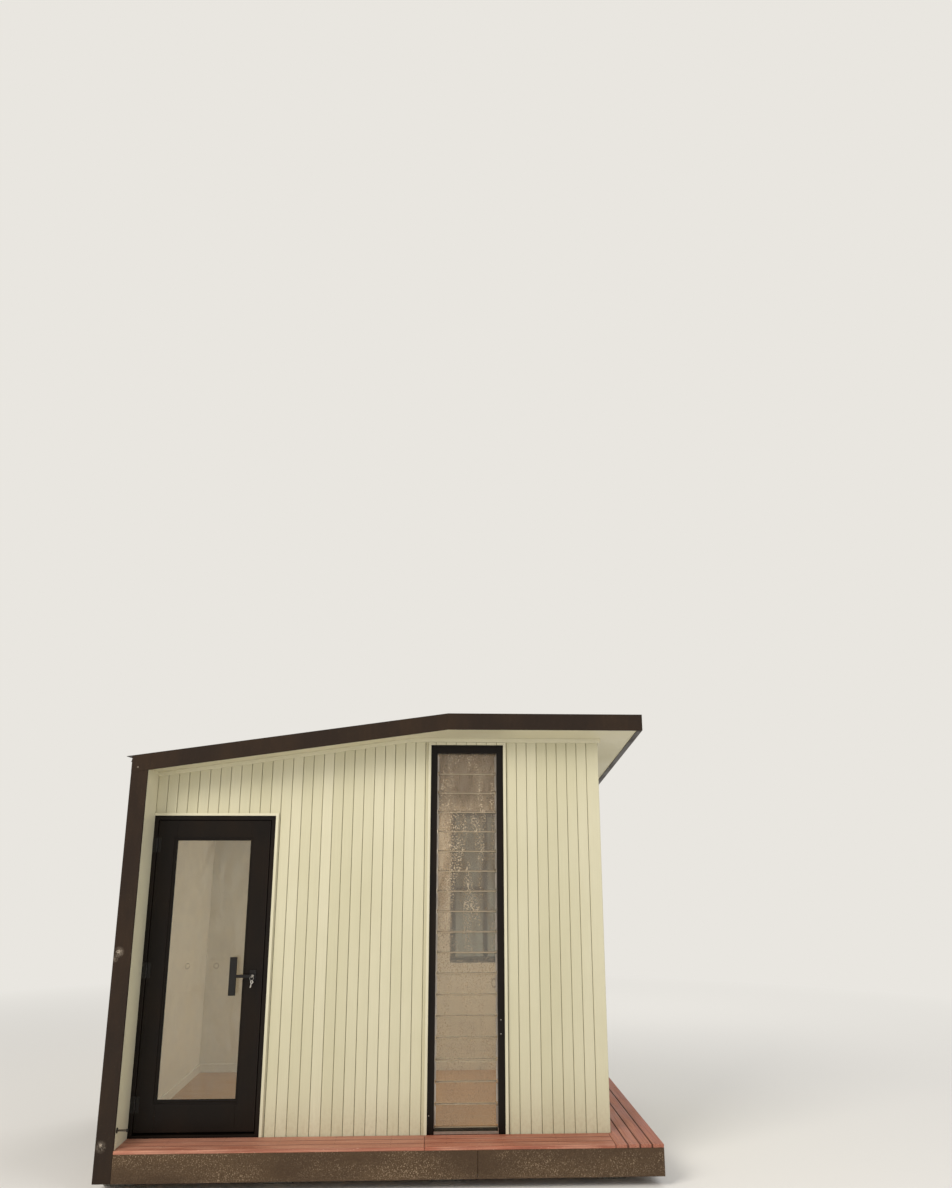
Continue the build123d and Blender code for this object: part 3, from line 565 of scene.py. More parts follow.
# Dark fibre-cement panels round the base: stony, freckled with grit and dried mud
BASE_PANEL = SplashedSurface(
    name="dark_fibre_cement_panel", colour="#493828", worn="#63503b", deep="#33271b",
    rough=(0.7, 0.85), drift=Grain((380, 380, 140), 0.36, 0.7, 5.0), drift_share=0.6,
    grain=Grain((9, 9, 9), 0.38, 0.66, 6.0), grain_share=0.5, relief=0.3, gloss=0.3,
    specks=Grain((6.5, 6.5, 8), 0.54, 0.7, 6.0), speck_colour="#b39c80", speck_share=0.75,
    speck_drifts=Grain((420, 420, 160), 0.38, 0.64, 4.0),
    splash="#7d6b55", splash_from=0.04, splash_to=0.22, splash_share=0.3,
    splash_grain=Grain((7, 7, 5), 0.5, 0.66, 8.0),
)
# Cast concrete pads: grey, pitted, damp towards the ground
CONCRETE = SplashedSurface(
    name="cast_concrete", colour="#a09c92", worn="#8b867a", deep="#77736a",
    rough=(0.85, 0.95), drift=Grain((90, 90, 60), 0.4, 0.65, 5.0), drift_share=0.6,
    grain=Grain((4, 4, 4), 0.4, 0.62, 5.0), grain_share=0.5, relief=0.6, gloss=0.25,
    splash="#5f564a", splash_from=0.0, splash_to=0.07, splash_share=0.8,
)
# Sawn treated softwood under the floor: pale brown with saw marks and darker knots
SAWN_TIMBER = Surface(
    name="sawn_treated_softwood", colour="#a98e62", worn="#8f7a58", deep="#7b6543",
    rough=(0.7, 0.85), drift=Grain((90, 90, 60), 0.42, 0.66, 4.0), drift_share=0.6,
    grain=Grain((60, 60, 3), 0.38, 0.66, 4.0, 0.6), grain_share=0.5, relief=0.3, gloss=0.3,
)
# Rolled emulsion on plasterboard: warm off-white with a faint stipple
PLASTER = Surface(
    name="emulsion_on_plasterboard", colour="#e2dccf", worn="#d3ccbd", deep="#cfc7b8",
    rough=(0.75, 0.85), drift=Grain((800, 800, 800), 0.4, 0.7, 2.0), drift_share=0.3,
    grain=Grain((5, 5, 5), 0.3, 0.7, 2.0), grain_share=0.1, relief=0.12, gloss=0.3,
)
# White satin on the skirting
SKIRTING_PAINT = Surface(
    name="white_satin_on_skirting", colour="#e6e2d8", worn="#d6d0c3", deep="#d3cdbf",
    rough=(0.4, 0.5), drift=Grain((400, 400, 60), 0.4, 0.7, 2.0), drift_share=0.3,
    grain=Grain((60, 60, 8), 0.3, 0.7, 2.0), grain_share=0.1, relief=0.04,
)
# Painted shade: a dark sheet behind the boards, seen only in the slits, which darkens them as shade
# would
GROOVE_SHADE = Surface(
    name="painted_groove_shade", colour="#26221d", worn="#332e27", deep="#1d1a16",
    rough=(0.8, 0.9), drift=Grain((300, 300, 300), 0.35, 0.65, 2.0), drift_share=0.5,
    grain=Grain((6, 6, 6), 0.35, 0.65, 2.0), grain_share=0.3, relief=0.1, gloss=0.2,
)
# Oak-faced floor planks: honey brown, matt lacquer, each plank its own shade
PLANK = Surface(
    name="matt_oak_planks", colour="#b28a5d", worn="#c39d70", deep="#86633f",
    rough=(0.42, 0.55), drift=Grain((300, 80, 80)), drift_share=0.4,
    grain=Grain((420, 4.5, 6), 0.36, 0.68, 4.0, 0.3), grain_share=0.45, relief=0.08, tone=0.6,
)
# Mill aluminium galleries: soft grey, drawn lines along the height, a little oxidised
ALUMINIUM = Surface(
    name="mill_aluminium", colour="#b9b1a7", worn="#9d958b", deep="#a39b91",
    rough=(0.36, 0.55), drift=Grain((30, 30, 120)), drift_share=0.5,
    grain=Grain((1.6, 1.6, 90), 0.3, 0.7, 2.0), grain_share=0.3, relief=0.02, metallic=1.0,
)
# Nickel-plated screws, key and lock face: bright, with fine scratches
PLATED_STEEL = Surface(
    name="nickel_plated_steel", colour="#c9c5bd", worn="#a8a299", deep="#9c968d",
    rough=(0.22, 0.4), drift=Grain((9, 9, 9), 0.4, 0.7, 2.0), drift_share=0.4,
    grain=Grain((1.2, 1.2, 1.2), 0.4, 0.7, 2.0), grain_share=0.3, relief=0.01, metallic=1.0,
)
# Dull stainless deck screws, browned by tannin
DECK_SCREW = Surface(
    name="weathered_stainless_screw", colour="#75695d", worn="#4e3b30", deep="#3d2d24",
    rough=(0.4, 0.65), drift=Grain((6, 6, 6), 0.35, 0.65, 3.0), drift_share=0.7,
    grain=Grain((1.5, 1.5, 1.5), 0.4, 0.7, 2.0), grain_share=0.4, relief=0.02, metallic=1.0,
)
# Brushed steel rod of the door stop, dulled outdoors
STOP_STEEL = Surface(
    name="brushed_steel_rod", colour="#5f5850", worn="#463f37", deep="#3a342d",
    rough=(0.35, 0.5), drift=Grain((14, 14, 14)), drift_share=0.5,
    grain=Grain((40, 1.2, 1.2), 0.35, 0.7, 2.0), grain_share=0.4, relief=0.02, metallic=1.0,
)
# Moulded rubber seals and stop tip: dead black, slightly chalked
RUBBER = Surface(
    name="moulded_black_rubber", colour="#141312", worn="#24211f", deep="#0e0d0d",
    rough=(0.7, 0.85), drift=Grain((30, 30, 60)), drift_share=0.5,
    grain=Grain((1.5, 1.5, 1.5), 0.35, 0.7, 2.0), grain_share=0.2, relief=0.03, gloss=0.3,
)
# Ground long edges of the louvre blades: frosted pale green, which draws each joint as a line
GROUND_EDGE = Surface(
    name="ground_glass_edge", colour="#c2c5b2", worn="#b0b39f", deep="#a1a593",
    rough=(0.45, 0.6), drift=Grain((40, 40, 40)), drift_share=0.5,
    grain=Grain((2, 2, 2), 0.4, 0.7, 2.0), grain_share=0.3, relief=0.02,
)
# Grey safety rings printed on film and stuck on the door glass
PRINTED_RING = Surface(
    name="printed_vinyl_ring", colour="#6a6154", worn="#776e60", deep="#5b5347",
    rough=(0.5, 0.6), drift=Grain((10, 10, 10), 0.4, 0.7, 2.0), drift_share=0.4,
    grain=Grain((1.5, 1.5, 1.5), 0.4, 0.7, 2.0), grain_share=0.2, relief=0.01,
)
# Door glass: one clean toughened sheet, faintly dusty towards the bottom
DOOR_GLASS = Glass(
    name="toughened_clear_glass", colour="#eef2ec", dust_and_shade_colour="#b7ab95",
    dust=Grain((40, 40, 90), 0.3, 0.95, 5.0), dust_share=0.05,
    speckle=Grain((5, 5, 7), 0.7, 0.77, 3.0), drops_and_reflection_share=0.3,
)
# Louvre blades: the same glass under a brownish film of dust and painted shade, strongest at the top and
# thin below 1.1 m, with pale specks in tall clusters that are partly dried drops and partly a painted
# reflection of foliage
LOUVRE_GLASS = Glass(
    name="dusty_louvre_glass", colour="#e9e6da", dust_and_shade_colour="#7e684c",
    dust=Grain((70, 70, 260), -0.4, 1.5, 5.0), dust_share=0.36,
    speckle=Grain((10, 10, 11), 0.55, 0.63, 1.0), drops_and_reflection_share=0.55, drops_and_reflection_colour="#e2d4ba",
    drops_and_reflection_clusters=Grain((100, 100, 380), 0.43, 0.57, 4.0, 0.5),
    film_full_from=1.9, film_thin_below=1.1, least=0.2, film_full_tint=0.25,
)
# Glass of the window at the back, coloured dark grey as painted shade of the dim view beyond it, so that
# it looks dark from both sides and lets less lamp light into the room
BACK_GLASS = Glass(
    name="grey_glass_painted_shade", colour="#8f928b", dust_and_shade_colour="#b0a68f",
    dust=Grain((60, 60, 110), 0.3, 0.9, 5.0), dust_share=0.08,
    speckle=Grain((7, 7, 12), 0.66, 0.76, 3.0), drops_and_reflection_share=0.3,
)


# Mesh tools

def keep_between(bm: BMesh, axis: int, low: float, high: float) -> BMesh:
    """Cuts away what lies outside two planes and caps the cuts.

    Args:
        bm: the solid, which is changed.
        axis: the axis across the planes.
        low: the lower plane.
        high: the upper plane.

    Returns:
        The same bmesh.
    """
    for place, sign in ((low, -1.0), (high, 1.0)):
        normal = Vector((0.0, 0.0, 0.0))
        normal[axis] = sign
        cut = bmesh.ops.bisect_plane(
            bm, geom=[*bm.verts, *bm.edges, *bm.faces], dist=CUT_SLACK,
            plane_co=normal * (place * sign), plane_no=normal, clear_outer=True,
        )
        rim = [g for g in cut["geom_cut"] if isinstance(g, bmesh.types.BMEdge)]
        bmesh.ops.holes_fill(bm, edges=rim)
    return bm


def join(parts: Iterable[BMesh]) -> BMesh:
    """Puts several bmeshes into one and frees them.

    Args:
        parts: the bmeshes.

    Returns:
        A new bmesh that holds them all.
    """
    whole = bmesh.new()
    for part in parts:
        mesh = bpy.data.meshes.new("part")
        part.to_mesh(mesh)
        part.free()
        whole.from_mesh(mesh)
        bpy.data.meshes.remove(mesh)
    return whole


def ease(bm: BMesh, radius: float, segments: int = 2, sharper_than: float = 40.0) -> BMesh:
    """Rounds the outer edges of a solid.

    Args:
        bm: the solid, which is changed.
        radius: of the rounding, in metres.
        segments: facets across it.
        sharper_than: only edges that turn by more than this, in degrees.

    Returns:
        The same bmesh.
    """
    least = math.radians(sharper_than)
    edges = [e for e in bm.edges if e.is_manifold and e.is_convex and e.calc_face_angle() > least]
    bmesh.ops.bevel(
        bm, geom=edges, offset=radius, offset_type="OFFSET", affect="EDGES",
        segments=segments, profile=0.5, material=-1, clamp_overlap=True,
    )
    return bm


def beside(spot: Sequence[float], offset: Sequence[float]) -> list[float]:
    """The point at an offset in millimetres from a spot."""
    return [place + step * MM for place, step in zip(spot, offset)]


def block(low: Sequence[float], high: Sequence[float], radius: float = 0.0) -> BMesh:
    """A straight block between two corners, with its edges eased if a radius is given.

    Args:
        low: lowest corner.
        high: highest corner.
        radius: easing of its edges.

    Returns:
        A new bmesh.
    """
    bm = bmesh.new()
    verts = bmesh.ops.create_cube(bm, size=1.0)["verts"]
    size = [b - a for a, b in zip(low, high)]
    middle = [(a + b) / 2 for a, b in zip(low, high)]
    fit = Matrix.Translation(middle) @ Matrix.Diagonal((*size, 1.0))
    bmesh.ops.transform(bm, verts=verts, matrix=fit)
    return ease(bm, radius) if radius else bm


def turned(start: Sequence[float], end: Sequence[float], radius: float, sides: int = 24,
           end_radius: float | None = None, rim: float = 0.0) -> BMesh:
    """A round bar between two points.

    Args:
        start: middle of one end.
        end: middle of the other.
        radius: at the start.
        sides: facets round it.
        end_radius: at the end, if it tapers.
        rim: rounding of both rims.

    Returns:
        A new bmesh.
    """
    bm = bmesh.new()
    run = Vector(end) - Vector(start)
    turn = Vector(UP).rotation_difference(run).to_matrix().to_4x4()
    bmesh.ops.create_cone(
        bm, cap_ends=True, segments=sides, radius1=radius,
        radius2=radius if end_radius is None else end_radius, depth=run.length,
        matrix=Matrix.Translation(Vector(start) + run / 2) @ turn,
    )
    return ease(bm, rim, sharper_than=60.0) if rim else bm


def open_frame(low: Sequence[float], high: Sequence[float], width: float,
               radius: float = 0.0) -> BMesh:
    """A rectangular ring that faces the front, such as a glazing seal.

    Args:
        low: lowest corner.
        high: highest corner.
        width: of the ring's sides.
        radius: easing of its edges.

    Returns:
        A new bmesh.
    """
    bm = bmesh.new()
    bmesh.ops.create_grid(bm, x_segments=1, y_segments=1, size=0.5)
    size = (high[X] - low[X], high[Z] - low[Z], 1.0, 1.0)
    middle = Matrix.Translation(((low[X] + high[X]) / 2, low[Y], (low[Z] + high[Z]) / 2))
    bmesh.ops.transform(bm, verts=bm.verts, matrix=middle @ STAND @ Matrix.Diagonal(size))
    return give_depth(bm, width, high[Y] - low[Y], radius)


def round_ring(middle: Sequence[float], radius: float, width: float, depth: float,
               sides: int = 40) -> BMesh:
    """A flat round ring that faces the front.

    Args:
        middle: of its front face.
        radius: of its outer rim.
        width: from rim to rim.
        depth: its thickness, towards the back.
        sides: facets round it.

    Returns:
        A new bmesh.
    """
    bm = bmesh.new()
    turn = Matrix.Translation(middle) @ STAND
    bmesh.ops.create_circle(bm, cap_ends=True, segments=sides, radius=radius, matrix=turn)
    return give_depth(bm, width, depth)


def give_depth(bm: BMesh, width: float, depth: float, radius: float = 0.0) -> BMesh:
    """Opens a flat sheet to a ring of the given width and extrudes it towards the back.

    Args:
        bm: the flat sheet, which is changed.
        width: of the ring's sides.
        depth: its thickness, towards the back.
        radius: easing of its edges.

    Returns:
        The same bmesh.
    """
    inner = list(bm.faces)
    bmesh.ops.inset_individual(bm, faces=inner, thickness=width, use_even_offset=True)
    bmesh.ops.delete(bm, geom=inner, context="FACES")
    grown = bmesh.ops.extrude_face_region(bm, geom=list(bm.faces))["geom"]
    moved = [g for g in grown if isinstance(g, BMVert)]
    bmesh.ops.translate(bm, verts=moved, vec=(0.0, depth, 0.0))
    bmesh.ops.recalc_face_normals(bm, faces=bm.faces)
    return ease(bm, radius) if radius else bm


def screw(head: Sequence[float], up: Sequence[float], radius: float) -> BMesh:
    """A low screw head with a square drive recess.

    Args:
        head: middle of its foot, on the surface.
        up: direction that it faces.
        radius: of the head.

    Returns:
        A new bmesh.
    """
    height, top_radius, rim = 0.3, 0.8, 0.45    # shares of the radius
    recess = 0.7                                # share of the height
    rise = Vector(up).normalized() * radius * height
    bm = turned(head, Vector(head) + rise, radius, sides=12, end_radius=radius * top_radius)
    top = max(bm.faces, key=lambda f: f.calc_center_median().dot(rise))
    bmesh.ops.inset_individual(bm, faces=[top], thickness=radius * rim)
    bmesh.ops.translate(bm, verts=top.verts, vec=-rise * recess)
    return bm


def tone_faces(bm: BMesh, key: Callable[[Vector], int]) -> BMesh:
    """Gives every board a tone of its own.

    Args:
        bm: the boards, which are changed.
        key: a board's number for the middle of a face.

    Returns:
        The same bmesh.
    """
    draw = random.Random(TONE_SEED)
    tones = [draw.random() for _ in range(TONES)]
    layer = bm.faces.layers.float.new(TONE)
    for face in bm.faces:
        face[layer] = tones[key(face.calc_center_median()) % len(tones)]
    return bm


def solids(bm: BMesh) -> list[tuple[Vector, Vector]]:
    """Finds the box of every separate solid.

    Args:
        bm: the solids, which are freed.

    Returns:
        The lowest and the highest corner of each, from the left on.
    """
    left = set(bm.verts)
    found = []
    while left:
        front = [left.pop()]
        group = []
        while front:
            vert = front.pop()
            group.append(vert.co.copy())
            near = {e.other_vert(vert) for e in vert.link_edges} & left
            left -= near
            front += near
        found.append((Vector(map(min, zip(*group))), Vector(map(max, zip(*group)))))
    bm.free()
    return sorted(found, key=lambda box: tuple(box[0]))


# The bench

class Bench:
    """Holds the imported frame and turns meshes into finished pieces."""

    def __init__(self, frame: dict[str, Any]) -> None:
        """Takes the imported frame.
        """
        self.nodes: dict[str, Object] = frame["nodes"]
        self.made: dict[Finish, Material] = {}

    def material(self, finish: Finish) -> Material:
        """The material of a finish, built once.

        Args:
            finish: the finish.

        Returns:
            Its material.
        """
        if finish not in self.made:
            self.made[finish] = finish.material()
        return self.made[finish]

    def copy(self, node: str) -> BMesh:
        """Copies a CAD node with its points merged and its flat faces whole.

        Args:
            node: the CAD node.

        Returns:
            A new bmesh.
        """
        bm = bmesh.new()
        bm.from_mesh(self.nodes[node].data)
        bmesh.ops.remove_doubles(bm, verts=bm.verts, dist=HAIR)
        bmesh.ops.dissolve_limit(bm, angle_limit=math.radians(FLAT), verts=bm.verts, edges=bm.edges)
        for face in bm.faces:
            face.material_index = 0
        return bm

    def dress(self, finish: Finish, *nodes: str) -> None:
        """Gives CAD nodes that keep their own mesh a finish.

        Args:
            finish: the finish.
            *nodes: the CAD nodes.
        """
        for node in nodes:
            for holder in self.nodes[node].material_slots:
                holder.material = self.material(finish)
            log.info("dressed %s in %s", node, finish.name)

    def place(self, name: str, bm: BMesh, finishes: Sequence[Finish], slot: str, body: str = "pod",
              stands_for: Sequence[str] = (), smooth: float = 0.0) -> None:
        """Turns a bmesh into a finished piece.

        Args:
            name: the piece's name.
            bm: its mesh, which is freed.
            finishes: one for each material index.
            slot: the record's material slot; not used.
            body: the CAD body that it rides on.
            stands_for: CAD nodes that it replaces.
            smooth: edges that turn by less than this, in degrees, are shaded smooth.
        """
        mesh = bpy.data.meshes.new(name)
        bm.to_mesh(mesh)
        bm.free()
        for finish in finishes:
            mesh.materials.append(self.material(finish))
        if smooth:
            mesh.shade_smooth()
            mesh.set_sharp_from_angle(angle=math.radians(smooth))
        piece = bpy.data.objects.new(name, mesh)
        bpy.context.scene.collection.objects.link(piece)
        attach(piece, body)
        if stands_for:
            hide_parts(*stands_for)
        log.info("%s: %d faces on %s", name, len(mesh.polygons), body)

    def glazing_seals(self, node: str, lap: float = 10 * MM, depth: float = 4 * MM,
                      width: float = 6 * MM) -> BMesh:
        """Rubber seals round every pane of a node, on both faces.

        Args:
            node: the CAD glass.
            lap: how far each pane is let into its frame.
            depth: of the seals, from the glass.
            width: of the seals, from the frame.

        Returns:
            A new bmesh.
        """
        seals = []
        for low, high in solids(self.copy(node)):
            for near, far in ((low.y - depth, low.y), (high.y, high.y + depth)):
                seals.append(open_frame(
                    (low.x + lap, near, low.z + lap), (high.x - lap, far, high.z - lap), width,
                    radius=1 * MM,
                ))
        return join(seals)


# Walls

class Side(Enum):
    """Which way a wall's boards face: the axis, and the direction along it."""

    FRONT = (Y, -1)
    BACK = (Y, 1)
    LEFT = (X, -1)
    RIGHT = (X, 1)


@dataclass
class Boards:
    """How one side of the pod is divided into grooved boards.

    groove is the place of one groove along the wall, and reach is where the boards begin and
    end. slit is the gap at the bottom of a groove, and chamfer the slope on both sides of it.
    """

    side: Side
    groove: float
    reach: Pair
    pitch: float = 75.3 * MM
    thickness: float = 12 * MM
    slit: float = 2.8 * MM
    chamfer: float = 3.2 * MM
    least_board: float = 20 * MM

    @property
    def along(self) -> int:
        """The axis along the wall."""
        return Y if self.side.value[0] == X else X

    def number(self, spot: Vector) -> int:
        """Number of the board at a place."""
        return math.floor((spot[self.along] - self.groove) / self.pitch)

    def edges(self) -> list[float]:
        """Places of the grooves along the wall, with both ends of the boards.

        Returns:
            The places, from the lower end to the upper.
        """
        start, end = self.reach
        first = math.ceil((start + self.least_board - self.groove) / self.pitch)
        last = math.floor((end - self.least_board - self.groove) / self.pitch)
        return [start, *(self.groove + k * self.pitch for k in range(first, last + 1)), end]

    def skin(self, bench: Bench, node: str) -> BMesh:
        """Cuts the outer layer off a copy of a CAD wall.

        Args:
            bench: holds the CAD nodes.
            node: the CAD wall.

        Returns:
            A new bmesh.
        """
        across, sign = self.side.value
        low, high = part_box(node)
        face = high[across] if sign > 0 else low[across]
        return keep_between(bench.copy(node), across, *sorted((face, face - sign * self.thickness)))

    def board(self, skin: BMesh, left: float, right: float) -> BMesh | None:
        """Cuts one board with chamfered edges.

        Args:
            skin: the outer layer of a wall, which stays.
            left: the board's lower edge along the wall.
            right: its upper edge.

        Returns:
            The board, or None if the layer has nothing there.
        """
        across, sign = self.side.value
        along = self.along
        board = keep_between(skin.copy(), along, left, right)
        if not board.faces:
            board.free()
            return None
        face = max(sign * v.co[across] for v in board.verts)
        sides = [
            e for e in board.edges
            if all(abs(sign * v.co[across] - face) < HAIR for v in e.verts)
            and any(all(abs(v.co[along] - edge) < HAIR for v in e.verts) for edge in (left, right))
        ]
        bmesh.ops.bevel(
            board, geom=sides, offset=self.chamfer, offset_type="OFFSET", affect="EDGES",
            segments=1, profile=0.5, material=-1, clamp_overlap=True,
        )
        return board

    def cut(self, skin: BMesh) -> list[BMesh]:
        """Cuts an outer layer into all its boards.

        Args:
            skin: the layer, which is freed.

        Returns:
            The boards.
        """
        edges, gap = self.edges(), self.slit / 2
        boards = [self.board(skin, left + gap, right - gap) for left, right in zip(edges, edges[1:])]
        skin.free()
        return [board for board in boards if board]


@dataclass
class BoardedWall:
    """One side of the pod, cut from the CAD walls nodes and standing for those in stands_for."""

    name: str
    boards: Boards
    nodes: tuple[str, ...]
    stands_for: tuple[str, ...]
    finish: Surface = BOARD_PAINT
    slot: str = "wall_paint"

    def build(self, bench: Bench) -> None:
        """Makes the boards of this side as one piece.

        Args:
            bench: where the pieces are made.
        """
        cuts = [self.boards.cut(self.boards.skin(bench, node)) for node in self.nodes]
        bm = tone_faces(join(board for cut in cuts for board in cut), self.boards.number)
        bench.place(self.name, bm, [self.finish], self.slot, stands_for=self.stands_for)


@dataclass
class WallLining:
    """What is behind the boards: a dark sheet of painted shade outside, seen in the slits, and plaster
    towards the room.
    """

    name: str
    nodes: tuple[str, ...]
    x_range: Pair
    y_range: Pair

    def build(self, bench: Bench) -> None:
        """Cuts the lining from copies of the CAD walls.

        Args:
            bench: where the pieces are made.
        """
        bm = join(
            keep_between(keep_between(bench.copy(node), X, *self.x_range), Y, *self.y_range)
            for node in self.nodes
        )
        ranges = ((X, self.x_range), (Y, self.y_range))
        planes = [(axis, place) for axis, ends in ranges for place in ends]
        for face in bm.faces:
            middle = face.calc_center_median()
            outer = any(abs(middle[axis] - place) < HAIR for axis, place in planes)
            # faces on the cuts, behind the boards, get the dark sheet of painted shade
            face.material_index = int(outer)
        bench.place(self.name, bm, [PLASTER, GROOVE_SHADE], "wall_paint")


@dataclass
class Walls:
    """All four walls."""

    front_groove: float = -1.6235    # seen over the door
    side_groove: float = -0.9

    def build(self, bench: Bench) -> None:
        """Makes the boards and linings of all four walls.

        Args:
            bench: where the pieces are made.
        """
        fronts = tuple(f"front_wall_{part}" for part in ("over_door", "middle", "over_window", "right"))
        backs = ("back_wall_sides", "back_wall_panels")
        (left, fin_front, _), (_, rear, _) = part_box("left_wall")
        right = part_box("right_wall")[1].x
        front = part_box("front_wall_middle")[0].y
        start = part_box("front_wall_over_door")[0].x
        skin = Boards.thickness
        across = (left + skin, right - skin)
        for wall in (
            BoardedWall(
                "boards_front", Boards(Side.FRONT, self.front_groove, (start, right)), fronts, fronts,
            ),
            BoardedWall(
                "boards_right", Boards(Side.RIGHT, self.side_groove, (front + skin, rear - skin)),
                ("front_wall_right", "right_wall", "back_wall_sides"), ("right_wall",),
            ),
            BoardedWall(
                "boards_back", Boards(Side.BACK, self.front_groove, (left + skin, right)),
                ("left_wall", *backs), backs,
            ),
            BoardedWall(
                "boards_left", Boards(Side.LEFT, self.side_groove, (fin_front, rear)),
                ("left_wall",), ("left_wall",), DARK_BOARD_PAINT, "dark_wall",
            ),
            WallLining("lining_front", fronts, across, (front + skin, rear)),
            WallLining("lining_sides", ("left_wall", "right_wall"), across, (fin_front, rear - skin)),
            WallLining("lining_back", backs, across, (front, rear - skin)),
        ):
            wall.build(bench)


# Pieces that keep the CAD shape and get eased edges

@dataclass(frozen=True)
class Eased:
    """A CAD node whose edges are eased and whose surface is finished."""

    node: str
    finish: Finish
    slot: str
    radius: float = 1.5 * MM
    body: str = "pod"
    segments: int = 2
    smooth: float = 0.0

    def build(self, bench: Bench) -> None:
        """Makes the piece, which stands for its node.

        Args:
            bench: where the pieces are made.
        """
        bm = ease(bench.copy(self.node), self.radius, self.segments)
        bench.place(
            f"{self.node}_finished", bm, [self.finish], self.slot, self.body, (self.node,), self.smooth
        )


@dataclass
class Shell:
    """Trim round the walls: beads, soffits, fin, roof edges and the panels at the base."""

    metal: tuple[str, ...] = (
        "fin_front_trim", "fascia_front_left", "fascia_front_right", "fascia_right", "fascia_left",
        "fascia_rear",
    )
    panels: tuple[str, ...] = ("deck_fascia", "base_skirts")

    def opening_trim(self, bench: Bench) -> None:
        """Beads round the openings; over the window short ends of board take their place.

        Args:
            bench: where the pieces are made.
        """
        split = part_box("louvre_jambs")[1].z
        beads = ease(keep_between(bench.copy("opening_beads"), Z, 0.0, split), 2 * MM)
        over = keep_between(bench.copy("opening_beads"), Z, split, OVERHEAD)
        places = [v.co.x for v in over.verts]
        ends = Boards(Side.FRONT, Walls.front_groove, (min(places), max(places))).cut(over)
        bench.place("opening_beads_finished", join([beads, *ends]), [TRIM_PAINT], "bead_paint",
                    stands_for=("opening_beads",))

    def build(self, bench: Bench) -> None:
        """Makes every trim piece.

        Args:
            bench: where the pieces are made.
        """
        for node in self.metal:
            Eased(node, EDGE_METAL, "edge_metal", radius=3 * MM, segments=3).build(bench)
        for node in self.panels:
            Eased(node, BASE_PANEL, "base_panel", radius=3 * MM).build(bench)
        Eased("soffit_bead", TRIM_PAINT, "bead_paint", radius=2 * MM).build(bench)
        self.opening_trim(bench)
        Eased("fin_lining", TRIM_PAINT, "fin_paint", radius=1 * MM).build(bench)
        bench.dress(TRIM_PAINT, "soffit_left", "soffit_main")
        bench.dress(PLASTER, "roof_core_left", "roof_core_main")


@dataclass
class RoofCover:
    """Ribbed roofing with a row of screws on the rib tops.

    front_edge and edge are from the eaves to the first screw, left_share is how much of the
    roof's width the left slope takes up, and washer and head each have a radius and a height.
    """

    rib_pitch: float = 0.25
    screw_rows: int = 5
    front_edge: float = 0.12
    edge: float = 0.06
    left_share: float = 0.55
    clear_of_cap: float = 0.02
    washer: Pair = (8 * MM, 1.5 * MM)
    head: Pair = (4.5 * MM, 4 * MM)
    head_rim: float = 0.6 * MM

    def landing(self, bench: Bench, x: float, y: float) -> tuple[str, Vector, Vector] | None:
        """Finds what a plumb line over the roof meets.

        Args:
            bench: holds the CAD nodes.
            x: place of the line.
            y: place of the line.

        Returns:
            The highest roof node, the point and the direction that it faces, or None.
        """
        hits = []
        for node in ("hip_cap", "roof_sheet_left", "roof_sheet_main"):
            found, point, facing, _ = bench.nodes[node].ray_cast((x, y, OVERHEAD), (0, 0, -1))
            if found:
                hits.append((point.z, node, point, facing))
        return max(hits, key=lambda hit: hit[0])[1:] if hits else None

    def spots(self) -> list[tuple[str, float, float]]:
        """The places of the screws on each sheet, in plan.

        Returns:
            The sheet, x and y of each screw.
        """
        low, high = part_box("roof_sheet_main")
        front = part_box("roof_sheet_left")[0].y
        width, depth = high.x - low.x, high.y - front
        steps = [i / (self.screw_rows - 1) for i in range(self.screw_rows)]
        main_ribs = [high.x - (i + 0.5) * self.rib_pitch for i in range(int(width // self.rib_pitch))]
        left_ribs = [front + (i + 0.5) * self.rib_pitch for i in range(int(depth // self.rib_pitch))]
        rows = [front + self.front_edge + t * (depth - self.front_edge - self.edge) for t in steps]
        columns = [low.x + self.edge + t * width * self.left_share for t in steps]
        return [("roof_sheet_main", x, y) for x in main_ribs for y in rows] + [
            ("roof_sheet_left", x, y) for x in columns for y in left_ribs
        ]

    def screw(self, foot: Vector, up: Vector) -> list[BMesh]:
        """Washer and hexagonal head of one roof screw.

        Args:
            foot: middle of its foot, on the sheet.
            up: direction that it faces.

        Returns:
            The washer and the head.
        """
        (washer_radius, washer_height), (head_radius, head_height) = self.washer, self.head
        seat = foot + up * washer_height
        return [
            turned(foot, seat, washer_radius, sides=14),
            turned(seat, seat + up * head_height, head_radius, sides=6, rim=self.head_rim),
        ]

    def screws(self, bench: Bench) -> BMesh:
        """A screw wherever a sheet lies open to the sky.

        Args:
            bench: holds the CAD nodes.

        Returns:
            A new bmesh.
        """
        parts = []
        steps = (-self.clear_of_cap, self.clear_of_cap)
        for sheet, x, y in self.spots():
            around = [self.landing(bench, x + step, y + step) for step in steps]
            met = self.landing(bench, x, y)
            if met and met[0] == sheet and all(hit and hit[0] != "hip_cap" for hit in around):
                parts += self.screw(met[1], met[2])
        return join(parts)

    def build(self, bench: Bench) -> None:
        """Dresses the sheets and adds the screws."""
        bench.dress(ROOF_METAL, "roof_sheet_left", "roof_sheet_main", "hip_cap")
        bench.place("roof_screws", self.screws(bench), [ROOF_METAL], "roof_metal")


# Deck and base

